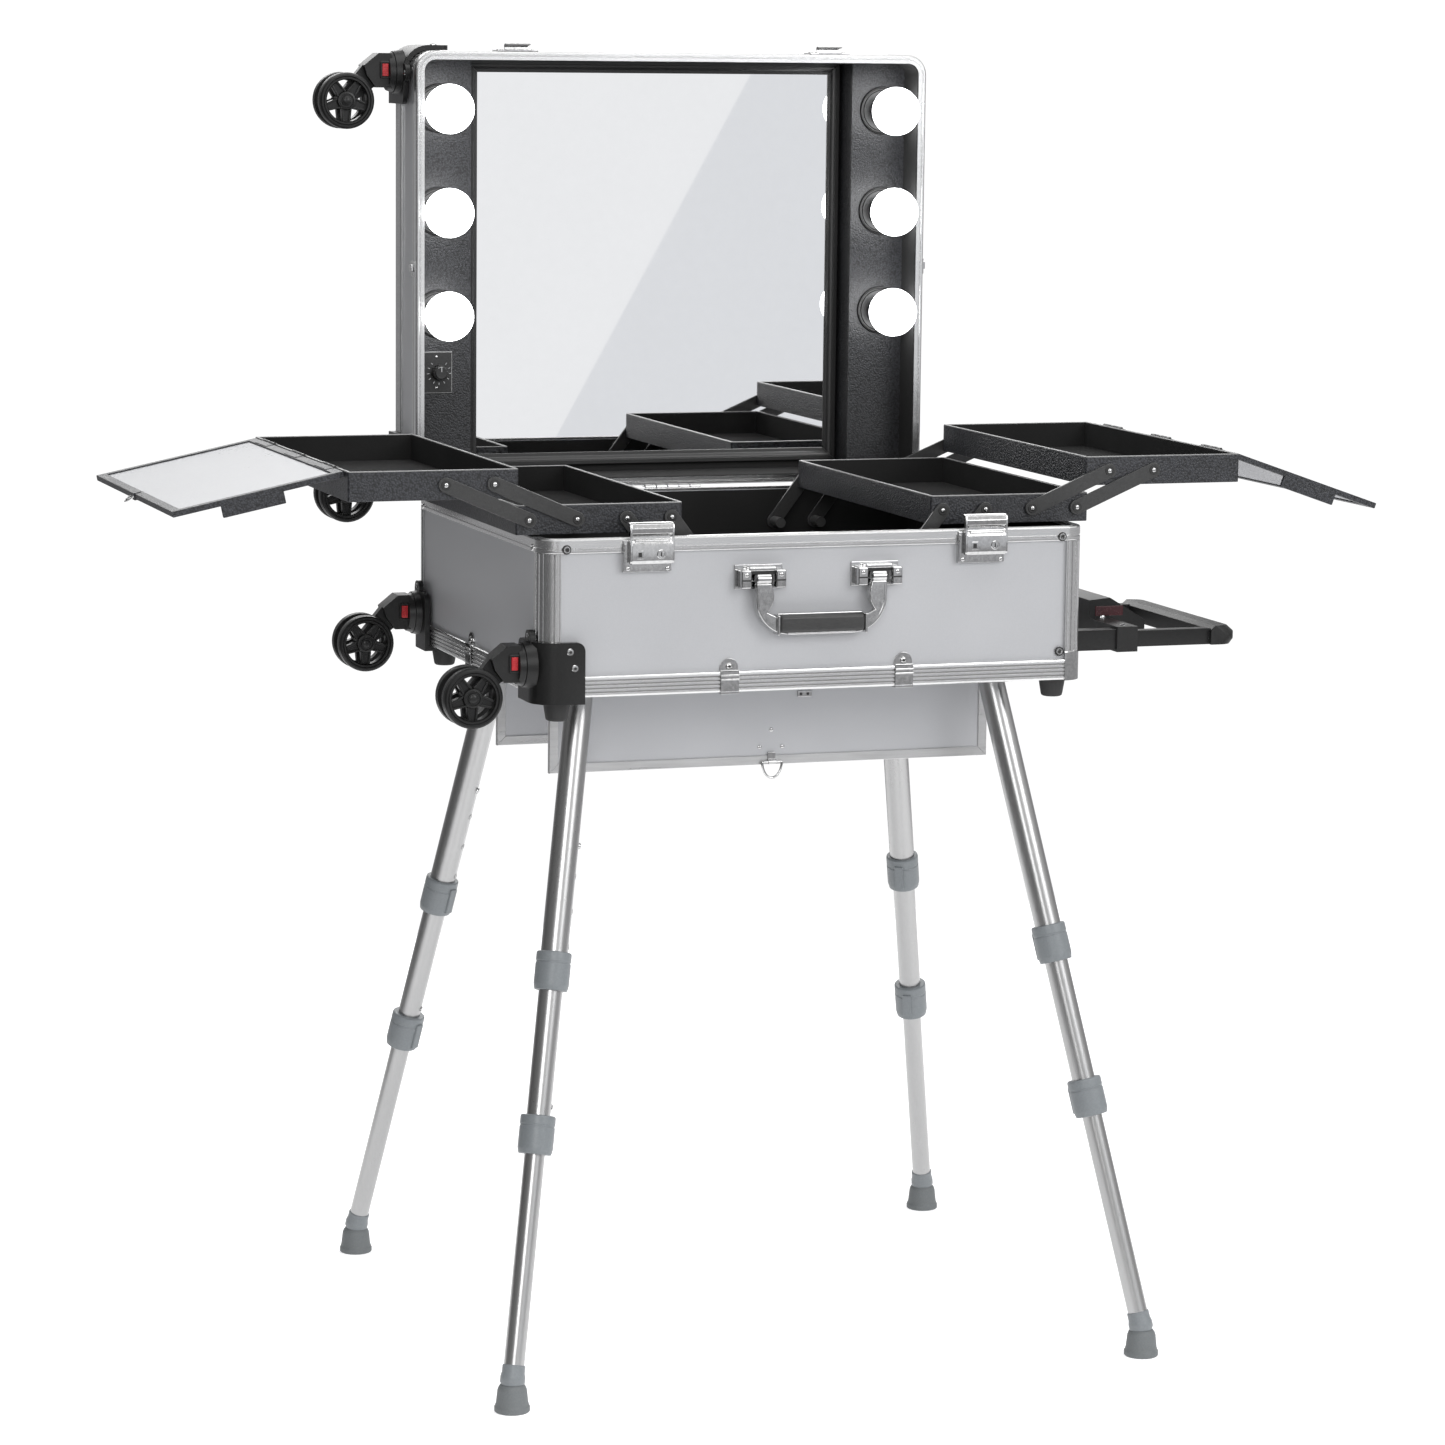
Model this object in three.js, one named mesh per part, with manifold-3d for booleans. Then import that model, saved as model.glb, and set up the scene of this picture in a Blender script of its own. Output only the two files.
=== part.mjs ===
// Rolling studio makeup case, opened on its four splayed telescopic legs.
// Millimetres, Z up, X to the right, Y to the back. The floor is Z = 0.
import * as THREE from 'three';
import { mergeVertices } from 'three/addons/utils/BufferGeometryUtils.js';
import Module from 'manifold-3d';

const wasm = await Module();
wasm.setup();

// ------------------------------------------------------------ overall sizes
const CASE_WIDTH = 540;
const CASE_DEPTH = 436;
const BASE_HEIGHT = 147;
const LID_HEIGHT = 82;
const BOTTOM_HEIGHT = 648;

// ------------------------------------------------------------ clearances
const FIT_GAP = 0.3;
const SLIDE_GAP = 0.4;
const PIN_GAP = 0.3;
const HINGE_GAP = 1;

// ------------------------------------------------------------ case halves
const CORNER_RADIUS = 20;
const FRAME_WALL = 3;
const FRAME_LIP = 12;
const FRAME_LIP_WALL = 2;
const RAIL_HEIGHT = 20;
const RIM_HEIGHT = 14;
const POST_WIDTH = 20;
const BOARD = 5;
const SKIN = 4;

const BOARD_OUTSET = FRAME_WALL + FIT_GAP;
const ROOM_INSET = BOARD_OUTSET + BOARD;
const SKIN_BOTTOM = FRAME_LIP_WALL + FIT_GAP;
const SKIN_TOP = SKIN_BOTTOM + SKIN;

// ------------------------------------------------------------ storage bay under the floor
const BAY_SIDE_INSET = 47;
const BAY_CEILING = 40;
const BAY_WALL = 2;
const DOOR_THICKNESS = 5;
const DOOR_LENGTH = 91.5;
const DOOR_BORDER = 9;
const DOOR_RELIEF = 1.2;
const DOOR_MEETING_GAP = 1;
const DOOR_DROP = 1;
const BAY_HALF_DEPTH = DOOR_LENGTH - 5.5;

// ------------------------------------------------------------ lid fittings
const PANEL_RECESS = 38;
const PANEL_BOARD = 3;
const PANEL_WIDTH = 67;
const MIRROR_THICKNESS = 4;
const MIRROR_MARGIN_SIDE = 13.5;
const MIRROR_MARGIN_END = 20;
const BULB_RADIUS = 24.5;
const BULB_STANDOFF = 40;
const BULB_BASE_RADIUS = 12.5;
const BULB_NECK_RADIUS = 14;
const BULB_BASE_LENGTH = 20;
const BULB_FROM_TOP = 57;
const BULB_SPACING = 102.5;
const KNOB_RADIUS = 8;
const KNOB_LENGTH = 11;
const KNOB_BELOW_BULBS = 58.5;

// ------------------------------------------------------------ trays and their links
const TRAY_WIDTH = 160.5;
const TRAY_HALF_DEPTH = CASE_DEPTH / 2 - 32;
const TRAY_HEIGHT = 27.5;
const TRAY_WALL = 3;
const TRAY_FLOOR = 2;
const TRAY_OVERHANG = 14;
const TRAY_OVER_RIM = 1;
const LINK_WIDTH = 14;
const LINK_THICKNESS = 2.5;
const LINK_PIN = 2.8;
const UPPER_LINK_LENGTH = 86;
const UPPER_LINK_ANGLE = 23.3;
const UPPER_LINK_FIRST = 12;
const UPPER_LINK_PITCH = 46;
const LOWER_LINK_LENGTH = 60;
const LOWER_LINK_ANGLE = 53;
const LOWER_LINK_FIRST = 106;
const LOWER_LINK_PITCH = 43.4;
const SPACER_RADIUS = 5;

// ------------------------------------------------------------ tray covers
const COVER_LENGTH = 161;
const COVER_HALF_DEPTH = TRAY_HALF_DEPTH - 11;
const COVER_THICKNESS = 5.5;
const COVER_BORDER = 9;
const COVER_RELIEF = 1;
const COVER_TAB = 11;
const LEFT_COVER_ANGLE = 12;
const RIGHT_COVER_ANGLE = 19;

// ------------------------------------------------------------ front handle and latches
const HANDLE_HALF_SPAN = 62;
const HANDLE_DROP = 43;
const HANDLE_ROD = 4;
const HANDLE_GRIP_RADIUS = 9.5;
const HANDLE_GRIP_HALF = 46;
const HANDLE_AXIS_HEIGHT = 106;
const HANDLE_AXIS_OUT = 7;
const LATCH_X = 165;
const LATCH_HALF_WIDTH = 23;

// ------------------------------------------------------------ trolley
const TROLLEY_HALF_SPAN = 98;
const TROLLEY_HEIGHT = 21;
const SLEEVE_HALF_WIDTH = 8.5;
const SLEEVE_HALF_HEIGHT = 10;
const SLEEVE_WALL = 1.6;
const SLEEVE_LENGTH = 300;
const SLEEVE_OUT = 82;
const GUIDE_X = 150;
const BRACE_LENGTH = 22;
const BRACE_HUMP = 40;
const RAIL_OUT = 101;
const RAIL_LENGTH = 273;
const GRIP_LENGTH = 27;

// ------------------------------------------------------------ casters
const CASTER_INSET_Y = 22;
const CASTER_HEIGHT = 30;
const CASTER_TRAIL = 28;
const WHEEL_RADIUS = 28;
const WHEEL_REACH = 50;
const WHEEL_GAP_HALF = 6;
const WHEEL_DISC = 11.5;
const AXLE_RADIUS = 4;
const BRACKET_WALL = 5;
const BRACKET_HEIGHT = 52;
const BRACKET_FRONT = 42;
const BRACKET_SIDE = 53;
const BRACKET_BOSS = 6;
const CASTER_DISC = 5.5;
const WHEEL_CLEARANCE = 2;

// ------------------------------------------------------------ legs
const LEG_TOP_INSET_X = 64.5;
const LEG_TOP_BEYOND_TROLLEY = 37.3;
const LEG_FOOT_X = 314.7;
const FOOT_RADIUS = 16.5;
const FOOT_HEIGHT = 26;
const UPPER_TUBE_RADIUS = 12.75;
const TUBE_WALL = 1.2;
const COLLAR_RADIUS = 16.5;
const COLLAR_LENGTH = 36;
const UPPER_TUBE_END = 286;
const MIDDLE_TUBE_TOP = 130;
const MIDDLE_TUBE_END = 438;
const LOWER_TUBE_TOP = 376;
const STUD_RADIUS = 6;
const STUD_LENGTH = 18;

// ------------------------------------------------------------ derived places
const RIM = BOTTOM_HEIGHT + BASE_HEIGHT;
const LID_FRONT = CASE_DEPTH / 2 + 2 * HINGE_GAP;
const LID_BACK = LID_FRONT + LID_HEIGHT;
const LID_BOTTOM = RIM + 2 * HINGE_GAP;
const LID_TOP = LID_BOTTOM + CASE_DEPTH;
const HALF_WIDTH = CASE_WIDTH / 2;
const HALF_DEPTH = CASE_DEPTH / 2;
const BAY_HALF_WIDTH = HALF_WIDTH - BAY_SIDE_INSET;
const PANEL_INNER_X = HALF_WIDTH - PANEL_WIDTH;
const FOOT_Y = LID_BACK + FIT_GAP + BRACKET_WALL - FOOT_RADIUS;

const rad = THREE.MathUtils.degToRad;

// ------------------------------------------------------------ solid helpers
function solidOf(geometry) {
  const bare = geometry.clone();
  bare.deleteAttribute('normal');
  bare.deleteAttribute('uv');
  const joined = mergeVertices(bare, 1e-4);
  return new wasm.Manifold(new wasm.Mesh({
    numProp: 3,
    vertProperties: Float32Array.from(joined.attributes.position.array),
    triVerts: Uint32Array.from(joined.index.array),
  }));
}

function geometryOf(solid) {
  const mesh = solid.getMesh();
  const geometry = new THREE.BufferGeometry();
  geometry.setAttribute('position', new THREE.BufferAttribute(Float32Array.from(mesh.vertProperties), 3));
  geometry.setIndex(Array.from(mesh.triVerts));
  return geometry;
}

function join(...parts) {
  return geometryOf(parts.map(solidOf).reduce((whole, part) => whole.add(part)));
}

function cut(body, ...tools) {
  return geometryOf(tools.map(solidOf).reduce((whole, tool) => whole.subtract(tool), solidOf(body)));
}

function common(first, second) {
  return geometryOf(solidOf(first).intersect(solidOf(second)));
}

// A placement that mirrors also turns every triangle round, so the skin still faces out.
function place(geometry, matrix) {
  const copy = geometry.clone();
  if (!copy.index) {
    copy.setIndex([...Array(copy.attributes.position.count).keys()]);
  }
  copy.deleteAttribute('normal');
  copy.deleteAttribute('uv');
  copy.applyMatrix4(matrix);
  if (matrix.determinant() < 0) {
    const order = Array.from(copy.index.array);
    for (let i = 0; i < order.length; i += 3) {
      [order[i + 1], order[i + 2]] = [order[i + 2], order[i + 1]];
    }
    copy.setIndex(order);
  }
  return copy;
}

function moved(geometry, x, y, z) {
  return place(geometry, new THREE.Matrix4().makeTranslation(x, y, z));
}

const MIRROR_X = new THREE.Matrix4().makeScale(-1, 1, 1);
const MIRROR_Y = new THREE.Matrix4().makeScale(1, -1, 1);

function block(x0, x1, y0, y1, z0, z1) {
  const box = new THREE.BoxGeometry(x1 - x0, y1 - y0, z1 - z0);
  return moved(box, (x0 + x1) / 2, (y0 + y1) / 2, (z0 + z1) / 2);
}

function rod(from, to, radius, segments = 16, endRadius = radius) {
  const start = new THREE.Vector3(...from);
  const end = new THREE.Vector3(...to);
  const run = end.clone().sub(start);
  const body = new THREE.CylinderGeometry(endRadius, radius, run.length(), segments);
  const turn = new THREE.Quaternion().setFromUnitVectors(new THREE.Vector3(0, 1, 0), run.normalize());
  const middle = start.add(end).multiplyScalar(0.5);
  return place(body, new THREE.Matrix4().compose(middle, turn, new THREE.Vector3(1, 1, 1)));
}

function roundedOutline(width, depth, radius) {
  const w = width / 2;
  const d = depth / 2;
  const shape = new THREE.Shape();
  shape.moveTo(-w + radius, -d);
  shape.lineTo(w - radius, -d);
  shape.absarc(w - radius, -d + radius, radius, -Math.PI / 2, 0, false);
  shape.lineTo(w, d - radius);
  shape.absarc(w - radius, d - radius, radius, 0, Math.PI / 2, false);
  shape.lineTo(-w + radius, d);
  shape.absarc(-w + radius, d - radius, radius, Math.PI / 2, Math.PI, false);
  shape.lineTo(-w, -d + radius);
  shape.absarc(-w + radius, -d + radius, radius, Math.PI, Math.PI * 1.5, false);
  return shape;
}

function slab(shape, z0, z1, steps = 4) {
  const body = new THREE.ExtrudeGeometry(shape, { depth: z1 - z0, bevelEnabled: false, curveSegments: steps });
  return moved(body, 0, 0, z0);
}

// The outline of a case half, drawn in by the given distance, as a slab between two heights.
function caseSlab(inset, z0, z1) {
  const outline = roundedOutline(CASE_WIDTH - 2 * inset, CASE_DEPTH - 2 * inset, CORNER_RADIUS - inset);
  return slab(outline, z0, z1);
}

// A tube geometry has open ends; this closes both with a fan round the path's end point.
function closedTube(tube, path, steps, sides) {
  const bare = tube.clone();
  bare.deleteAttribute('normal');
  bare.deleteAttribute('uv');
  const positions = Array.from(bare.attributes.position.array);
  const order = Array.from(bare.index.array);
  for (const [row, t] of [[0, 0], [steps, 1]]) {
    const centre = path.getPoint(t);
    const middle = positions.length / 3;
    positions.push(centre.x, centre.y, centre.z);
    for (let i = 0; i < sides; i += 1) {
      const first = row * (sides + 1) + i;
      const second = first + 1;
      order.push(middle, ...(row === 0 ? [first, second] : [second, first]));
    }
  }
  const geometry = new THREE.BufferGeometry();
  geometry.setAttribute('position', new THREE.BufferAttribute(new Float32Array(positions), 3));
  geometry.setIndex(order);
  return mergeVertices(geometry, 1e-4);
}

// TubeGeometry steps evenly along the length; this makes it step from corner to corner instead.
function evenly(path) {
  path.getPointAt = (t, target) => path.getPoint(t, target);
  path.getTangentAt = (t, target = new THREE.Vector3()) => {
    const before = path.getPoint(Math.max(t - 1e-3, 0));
    const after = path.getPoint(Math.min(t + 1e-3, 1));
    return target.copy(after).sub(before).normalize();
  };
  return path;
}

// A flat profile given as [x, z] points, extruded in Y between y0 and y1.
function profileXZ(points, y0, y1) {
  const shape = new THREE.Shape(points.map(([x, z]) => new THREE.Vector2(x, z)));
  const body = new THREE.ExtrudeGeometry(shape, { depth: y1 - y0, bevelEnabled: false });
  const turn = new THREE.Matrix4().makeRotationX(Math.PI / 2);
  return moved(place(body, turn), 0, y1, 0);
}

// A flat profile given as [y, z] points, extruded in X between x0 and x1.
function profileYZ(points, x0, x1) {
  const shape = new THREE.Shape(points.map(([y, z]) => new THREE.Vector2(y, z)));
  const body = new THREE.ExtrudeGeometry(shape, { depth: x1 - x0, bevelEnabled: false });
  const turn = new THREE.Matrix4().set(0, 0, 1, 0, 1, 0, 0, 0, 0, 1, 0, 0, 0, 0, 0, 1);
  return moved(place(body, turn), x0, 0, 0);
}

// ------------------------------------------------------------ placement of the case halves
// A half is drawn with its outer face at z = 0 and its rim up.
const BASE_PLACE = new THREE.Matrix4().makeTranslation(0, 0, BOTTOM_HEIGHT);
const LID_PLACE = new THREE.Matrix4().set(
  1, 0, 0, 0,
  0, 0, -1, LID_BACK,
  0, -1, 0, (LID_BOTTOM + LID_TOP) / 2,
  0, 0, 0, 1,
);

const parts = [];

function add(name, geometry, colour, roughness, metalness) {
  parts.push({ name, geometry, colour, roughness, metalness });
}

const ALUMINIUM = [0xd6d8da, 0.35, 0.9];
const LAMINATE = [0xb9babd, 0.5, 0.2];
const LEATHERETTE = [0x2c2c2f, 0.7, 0];
const BLACK_PLASTIC = [0x1b1b1d, 0.5, 0];
const CHROME = [0xe0e2e4, 0.15, 1];
const GREY_PLASTIC = [0x6b7074, 0.6, 0];

// ------------------------------------------------------------ case frames
function caseFrame(height) {
  const ring = cut(
    caseSlab(0, 0, height),
    caseSlab(FRAME_WALL, FRAME_LIP_WALL, height - FRAME_LIP_WALL),
    caseSlab(FRAME_LIP, -1, FRAME_LIP_WALL + 1),
    caseSlab(ROOM_INSET + FIT_GAP, height - FRAME_LIP_WALL - 1, height + 1),
  );
  const low = RAIL_HEIGHT;
  const high = height - RIM_HEIGHT;
  return cut(
    ring,
    block(-HALF_WIDTH + POST_WIDTH, HALF_WIDTH - POST_WIDTH, -CASE_DEPTH, CASE_DEPTH, low, high),
    block(-CASE_WIDTH, CASE_WIDTH, -HALF_DEPTH + POST_WIDTH, HALF_DEPTH - POST_WIDTH, low, high),
  );
}

function trolleyOpening(x0, x1, side) {
  const y = side * TROLLEY_HALF_SPAN;
  const w = SLEEVE_HALF_WIDTH + SLIDE_GAP;
  const h = SLEEVE_HALF_HEIGHT + SLIDE_GAP;
  return block(x0, x1, y - w, y + w, TROLLEY_HEIGHT - h, TROLLEY_HEIGHT + h);
}

const wallOpenings = [-1, 1].map((side) => trolleyOpening(HALF_WIDTH - ROOM_INSET - 4, HALF_WIDTH + 5, side));
add('base_frame', place(cut(caseFrame(BASE_HEIGHT), ...wallOpenings), BASE_PLACE), ...ALUMINIUM);
add('lid_frame', place(caseFrame(LID_HEIGHT), LID_PLACE), ...ALUMINIUM);

// ------------------------------------------------------------ legs: where each axis runs
const legTop = new THREE.Vector3(
  HALF_WIDTH - LEG_TOP_INSET_X,
  TROLLEY_HALF_SPAN + LEG_TOP_BEYOND_TROLLEY,
  BOTTOM_HEIGHT + SKIN_BOTTOM - FIT_GAP,
);
const legFoot = new THREE.Vector3(LEG_FOOT_X, FOOT_Y, FOOT_HEIGHT);
const legRun = legFoot.clone().sub(legTop).normalize();
const LEG_TILT_DROP = UPPER_TUBE_RADIUS * Math.sqrt(1 - legRun.z * legRun.z) / -legRun.z;

function onLeg(distance) {
  const point = legTop.clone().addScaledVector(legRun, distance + LEG_TILT_DROP);
  return [point.x, point.y, point.z];
}

function legCorner(geometry, sideX, sideY) {
  return place(geometry, new THREE.Matrix4().makeScale(sideX, sideY, 1));
}

const CORNERS = [
  ['front_left', -1, -1],
  ['front_right', 1, -1],
  ['rear_left', -1, 1],
  ['rear_right', 1, 1],
];

// ------------------------------------------------------------ lower box: boards, floors, bay, leg sockets
const lowerLinkRun = [
  LOWER_LINK_LENGTH * Math.cos(rad(LOWER_LINK_ANGLE)),
  LOWER_LINK_LENGTH * Math.sin(rad(LOWER_LINK_ANGLE)),
];
const trayOuterX = HALF_WIDTH + TRAY_OVERHANG;
const trayBottom = RIM + TRAY_OVER_RIM;
const pinHeight = trayBottom + TRAY_HEIGHT / 2;
const lowerTrayPins = [0, 1].map((i) => trayOuterX - LOWER_LINK_FIRST - i * LOWER_LINK_PITCH);
const lowerWallPins = lowerTrayPins.map((x) => x - lowerLinkRun[0]);
const wallPinHeight = pinHeight - lowerLinkRun[1];
const roomHalfDepth = HALF_DEPTH - ROOM_INSET;

function toBase(height) {
  return height - BOTTOM_HEIGHT;
}

const floorTop = BAY_CEILING + SKIN;
const boardTop = BASE_HEIGHT - FRAME_LIP_WALL - FIT_GAP;
const bayOuterX = BAY_HALF_WIDTH + 0.5 + BAY_WALL;
const bayOuterY = BAY_HALF_DEPTH + BAY_WALL;
const doorOpeningY = DOOR_LENGTH + DOOR_MEETING_GAP / 2 + FIT_GAP;

let underfloor = cut(
  caseSlab(ROOM_INSET, SKIN_TOP, BAY_CEILING),
  block(-bayOuterX, bayOuterX, -bayOuterY, bayOuterY, 0, BAY_CEILING + 1),
);
for (const side of [-1, 1]) {
  const y0 = side * (bayOuterY - 1);
  const y1 = side * (TROLLEY_HALF_SPAN + SLEEVE_HALF_WIDTH + 6);
  const post = block(GUIDE_X, GUIDE_X + 10, Math.min(y0, y1), Math.max(y0, y1), 0, BAY_CEILING + 1);
  underfloor = cut(underfloor, cut(post, trolleyOpening(GUIDE_X - 1, GUIDE_X + 11, side)));
}
for (const [, sideX, sideY] of CORNERS) {
  const boss = moved(rod(onLeg(-24), onLeg(0), STUD_RADIUS + 5, 10), 0, 0, -BOTTOM_HEIGHT);
  underfloor = cut(underfloor, legCorner(boss, sideX, sideY));
}

let baseShell = cut(
  caseSlab(BOARD_OUTSET, SKIN_BOTTOM, boardTop),
  caseSlab(ROOM_INSET, floorTop, BASE_HEIGHT + 1),
  underfloor,
  block(-BAY_HALF_WIDTH - 0.5, BAY_HALF_WIDTH + 0.5, -BAY_HALF_DEPTH, BAY_HALF_DEPTH, -1, BAY_CEILING),
  block(-BAY_HALF_WIDTH - 0.5, BAY_HALF_WIDTH + 0.5, -doorOpeningY, doorOpeningY, -1, SKIN_TOP + 0.5),
  ...wallOpenings,
);
for (const [, sideX, sideY] of CORNERS) {
  const hole = moved(rod(onLeg(-STUD_LENGTH - 2), onLeg(2), STUD_RADIUS + SLIDE_GAP * 2, 14), 0, 0, -BOTTOM_HEIGHT);
  baseShell = cut(baseShell, legCorner(hole, sideX, sideY));
}
for (const x of lowerWallPins) {
  for (const sideX of [-1, 1]) {
    for (const sideY of [-1, 1]) {
      const z = toBase(wallPinHeight);
      const hole = rod(
        [sideX * x, sideY * (roomHalfDepth - 1), z],
        [sideX * x, sideY * (roomHalfDepth + 3), z],
        LINK_PIN + PIN_GAP,
        8,
      );
      baseShell = cut(baseShell, hole);
    }
  }
}
add('base_shell', place(baseShell, BASE_PLACE), ...LAMINATE);

// ------------------------------------------------------------ bay doors and their pull ring
const hingeY = DOOR_LENGTH + DOOR_MEETING_GAP / 2;
const hingeZ = BOTTOM_HEIGHT + DOOR_DROP;

function bayDoor() {
  const low = hingeZ - DOOR_LENGTH;
  const door = block(-BAY_HALF_WIDTH, BAY_HALF_WIDTH, -hingeY, -hingeY + DOOR_THICKNESS, low, hingeZ);
  const x = BAY_HALF_WIDTH - DOOR_BORDER;
  const relief = (y0, y1) => block(-x, x, y0, y1, low + DOOR_BORDER, hingeZ - DOOR_BORDER);
  return cut(
    door,
    relief(-hingeY - 1, -hingeY + DOOR_RELIEF),
    relief(-hingeY + DOOR_THICKNESS - DOOR_RELIEF, -hingeY + DOOR_THICKNESS + 1),
  );
}

const RING_WIRE = 1.3;
const RING_HALF = 10;
const RING_DROP = 17;
const ringAxisY = -hingeY - 2.6;
const ringAxisZ = hingeZ - DOOR_LENGTH + 3;
const lug = cut(
  block(-4, 4, ringAxisY - 2.4, -hingeY + 1, ringAxisZ - 2.4, ringAxisZ + 2.4),
  rod([-6, ringAxisY, ringAxisZ], [6, ringAxisY, ringAxisZ], RING_WIRE + PIN_GAP, 10),
);
add('bay_door_front', join(bayDoor(), lug), ...LAMINATE);
add('bay_door_rear', place(bayDoor(), MIRROR_Y), ...LAMINATE);

class RingPath extends THREE.Curve {
  getPoint(t, target = new THREE.Vector3()) {
    const angle = Math.PI * t;
    return target.set(
      -RING_HALF * Math.cos(angle),
      ringAxisY,
      ringAxisZ - (RING_DROP - RING_WIRE) * Math.sin(angle),
    );
  }
}
const ringBow = new THREE.TubeGeometry(new RingPath(), 10, RING_WIRE, 6, false);

const ringBar = rod([-RING_HALF, ringAxisY, ringAxisZ], [RING_HALF, ringAxisY, ringAxisZ], RING_WIRE, 8);
const ringEnds = [-1, 1].map((side) => moved(
  new THREE.SphereGeometry(RING_WIRE * 1.25, 8, 4),
  side * RING_HALF,
  ringAxisY,
  ringAxisZ,
));
add(
  'bay_pull_ring',
  join(closedTube(ringBow, new RingPath(), 10, 6), ringBar, ...ringEnds),
  ...CHROME,
);

// ------------------------------------------------------------ lid shell, light panels, mirror, lamps, dimmer
const lidBoards = cut(
  caseSlab(BOARD_OUTSET, SKIN_BOTTOM, LID_HEIGHT - FRAME_LIP_WALL - FIT_GAP),
  caseSlab(ROOM_INSET, SKIN_TOP, LID_HEIGHT + 1),
);
add('lid_shell', place(lidBoards, LID_PLACE), ...LAMINATE);

const panelFace = LID_HEIGHT - PANEL_RECESS;
const panelBack = SKIN_TOP + FIT_GAP;
const bulbX = (PANEL_INNER_X + HALF_WIDTH - ROOM_INSET) / 2 + 4;
const bulbLocalY = [0, 1, 2].map((i) => -HALF_DEPTH + BULB_FROM_TOP + i * BULB_SPACING);
const knobLocalY = bulbLocalY[2] + KNOB_BELOW_BULBS;

function lightPanel(withKnob) {
  const blank = caseSlab(ROOM_INSET + FIT_GAP, panelBack, panelFace);
  const side = common(blank, block(PANEL_INNER_X, CASE_WIDTH, -CASE_DEPTH, CASE_DEPTH, 0, LID_HEIGHT));
  const hollow = block(
    PANEL_INNER_X + PANEL_BOARD,
    CASE_WIDTH,
    -CASE_DEPTH,
    CASE_DEPTH,
    0,
    panelFace - PANEL_BOARD,
  );
  const tools = [hollow];
  for (const y of bulbLocalY) {
    const from = [bulbX, y, panelFace - PANEL_BOARD - 1];
    tools.push(rod(from, [bulbX, y, panelFace + 1], BULB_BASE_RADIUS + SLIDE_GAP, 18));
  }
  if (withKnob) {
    const from = [bulbX, knobLocalY, panelFace - PANEL_BOARD - 1];
    tools.push(rod(from, [bulbX, knobLocalY, panelFace + 1], 3 + PIN_GAP, 12));
  }
  return cut(side, ...tools);
}

add('light_panel_left', place(place(lightPanel(true), MIRROR_X), LID_PLACE), ...LEATHERETTE);
add('light_panel_right', place(lightPanel(false), LID_PLACE), ...LEATHERETTE);

const mirrorX = PANEL_INNER_X - MIRROR_MARGIN_SIDE;
const mirrorY = HALF_DEPTH - MIRROR_MARGIN_END;
add(
  'mirror',
  place(block(-mirrorX, mirrorX, -mirrorY, mirrorY - 8, panelBack, panelBack + MIRROR_THICKNESS), LID_PLACE),
  0xc9ccd0,
  0.05,
  1,
);

function bulbBody() {
  const start = Math.asin(BULB_NECK_RADIUS / BULB_RADIUS);
  const profile = [
    [0, -BULB_BASE_LENGTH],
    [BULB_BASE_RADIUS - 3, -BULB_BASE_LENGTH],
    [BULB_BASE_RADIUS, -BULB_BASE_LENGTH + 5],
    [BULB_BASE_RADIUS, 4],
  ];
  const steps = 7;
  for (let i = 0; i <= steps; i += 1) {
    const angle = start + (Math.PI - start) * (i / steps);
    const radius = i === steps ? 0 : BULB_RADIUS * Math.sin(angle);
    profile.push([radius, BULB_STANDOFF - BULB_RADIUS * Math.cos(angle)]);
  }
  const lathe = new THREE.LatheGeometry(profile.map(([r, h]) => new THREE.Vector2(r, h)), 16);
  // lathe axis is Y; stand it along local Z
  return place(lathe, new THREE.Matrix4().makeRotationX(Math.PI / 2));
}

const LEVELS = ['top', 'middle', 'bottom'];
for (const [side, sign] of [['left', -1], ['right', 1]]) {
  LEVELS.forEach((level, i) => {
    const bulb = moved(bulbBody(), sign * bulbX, bulbLocalY[i], panelFace);
    add(`bulb_${side}_${level}`, place(bulb, LID_PLACE), 0xffffff, 0.3, 0);
  });
}

const knobFace = panelFace + FIT_GAP;
const knob = join(
  rod([-bulbX, knobLocalY, knobFace], [-bulbX, knobLocalY, knobFace + KNOB_LENGTH], KNOB_RADIUS, 20, KNOB_RADIUS - 1),
  rod([-bulbX, knobLocalY, knobFace - 7], [-bulbX, knobLocalY, knobFace + 1], 3, 12),
  block(-bulbX - 1, -bulbX + 1, knobLocalY - KNOB_RADIUS + 1.5, knobLocalY, knobFace + 1, knobFace + KNOB_LENGTH + 1.2),
);
add('dimmer_knob', place(knob, LID_PLACE), ...BLACK_PLASTIC);

// ------------------------------------------------------------ trays (drawn on the right, mirrored to the left)
const upperRun = [
  UPPER_LINK_LENGTH * Math.cos(rad(UPPER_LINK_ANGLE)),
  UPPER_LINK_LENGTH * Math.sin(rad(UPPER_LINK_ANGLE)),
];
const upperLowPins = [0, 1].map((i) => trayOuterX - UPPER_LINK_FIRST - i * UPPER_LINK_PITCH);
const upperHighPins = upperLowPins.map((x) => x + upperRun[0]);
const upperShift = 2 * upperRun[0];

function pinHole(x, z, sideY) {
  const y = sideY * TRAY_HALF_DEPTH;
  return rod([x, y - sideY * (TRAY_WALL + 1), z], [x, y + sideY, z], LINK_PIN + PIN_GAP, 8);
}

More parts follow.
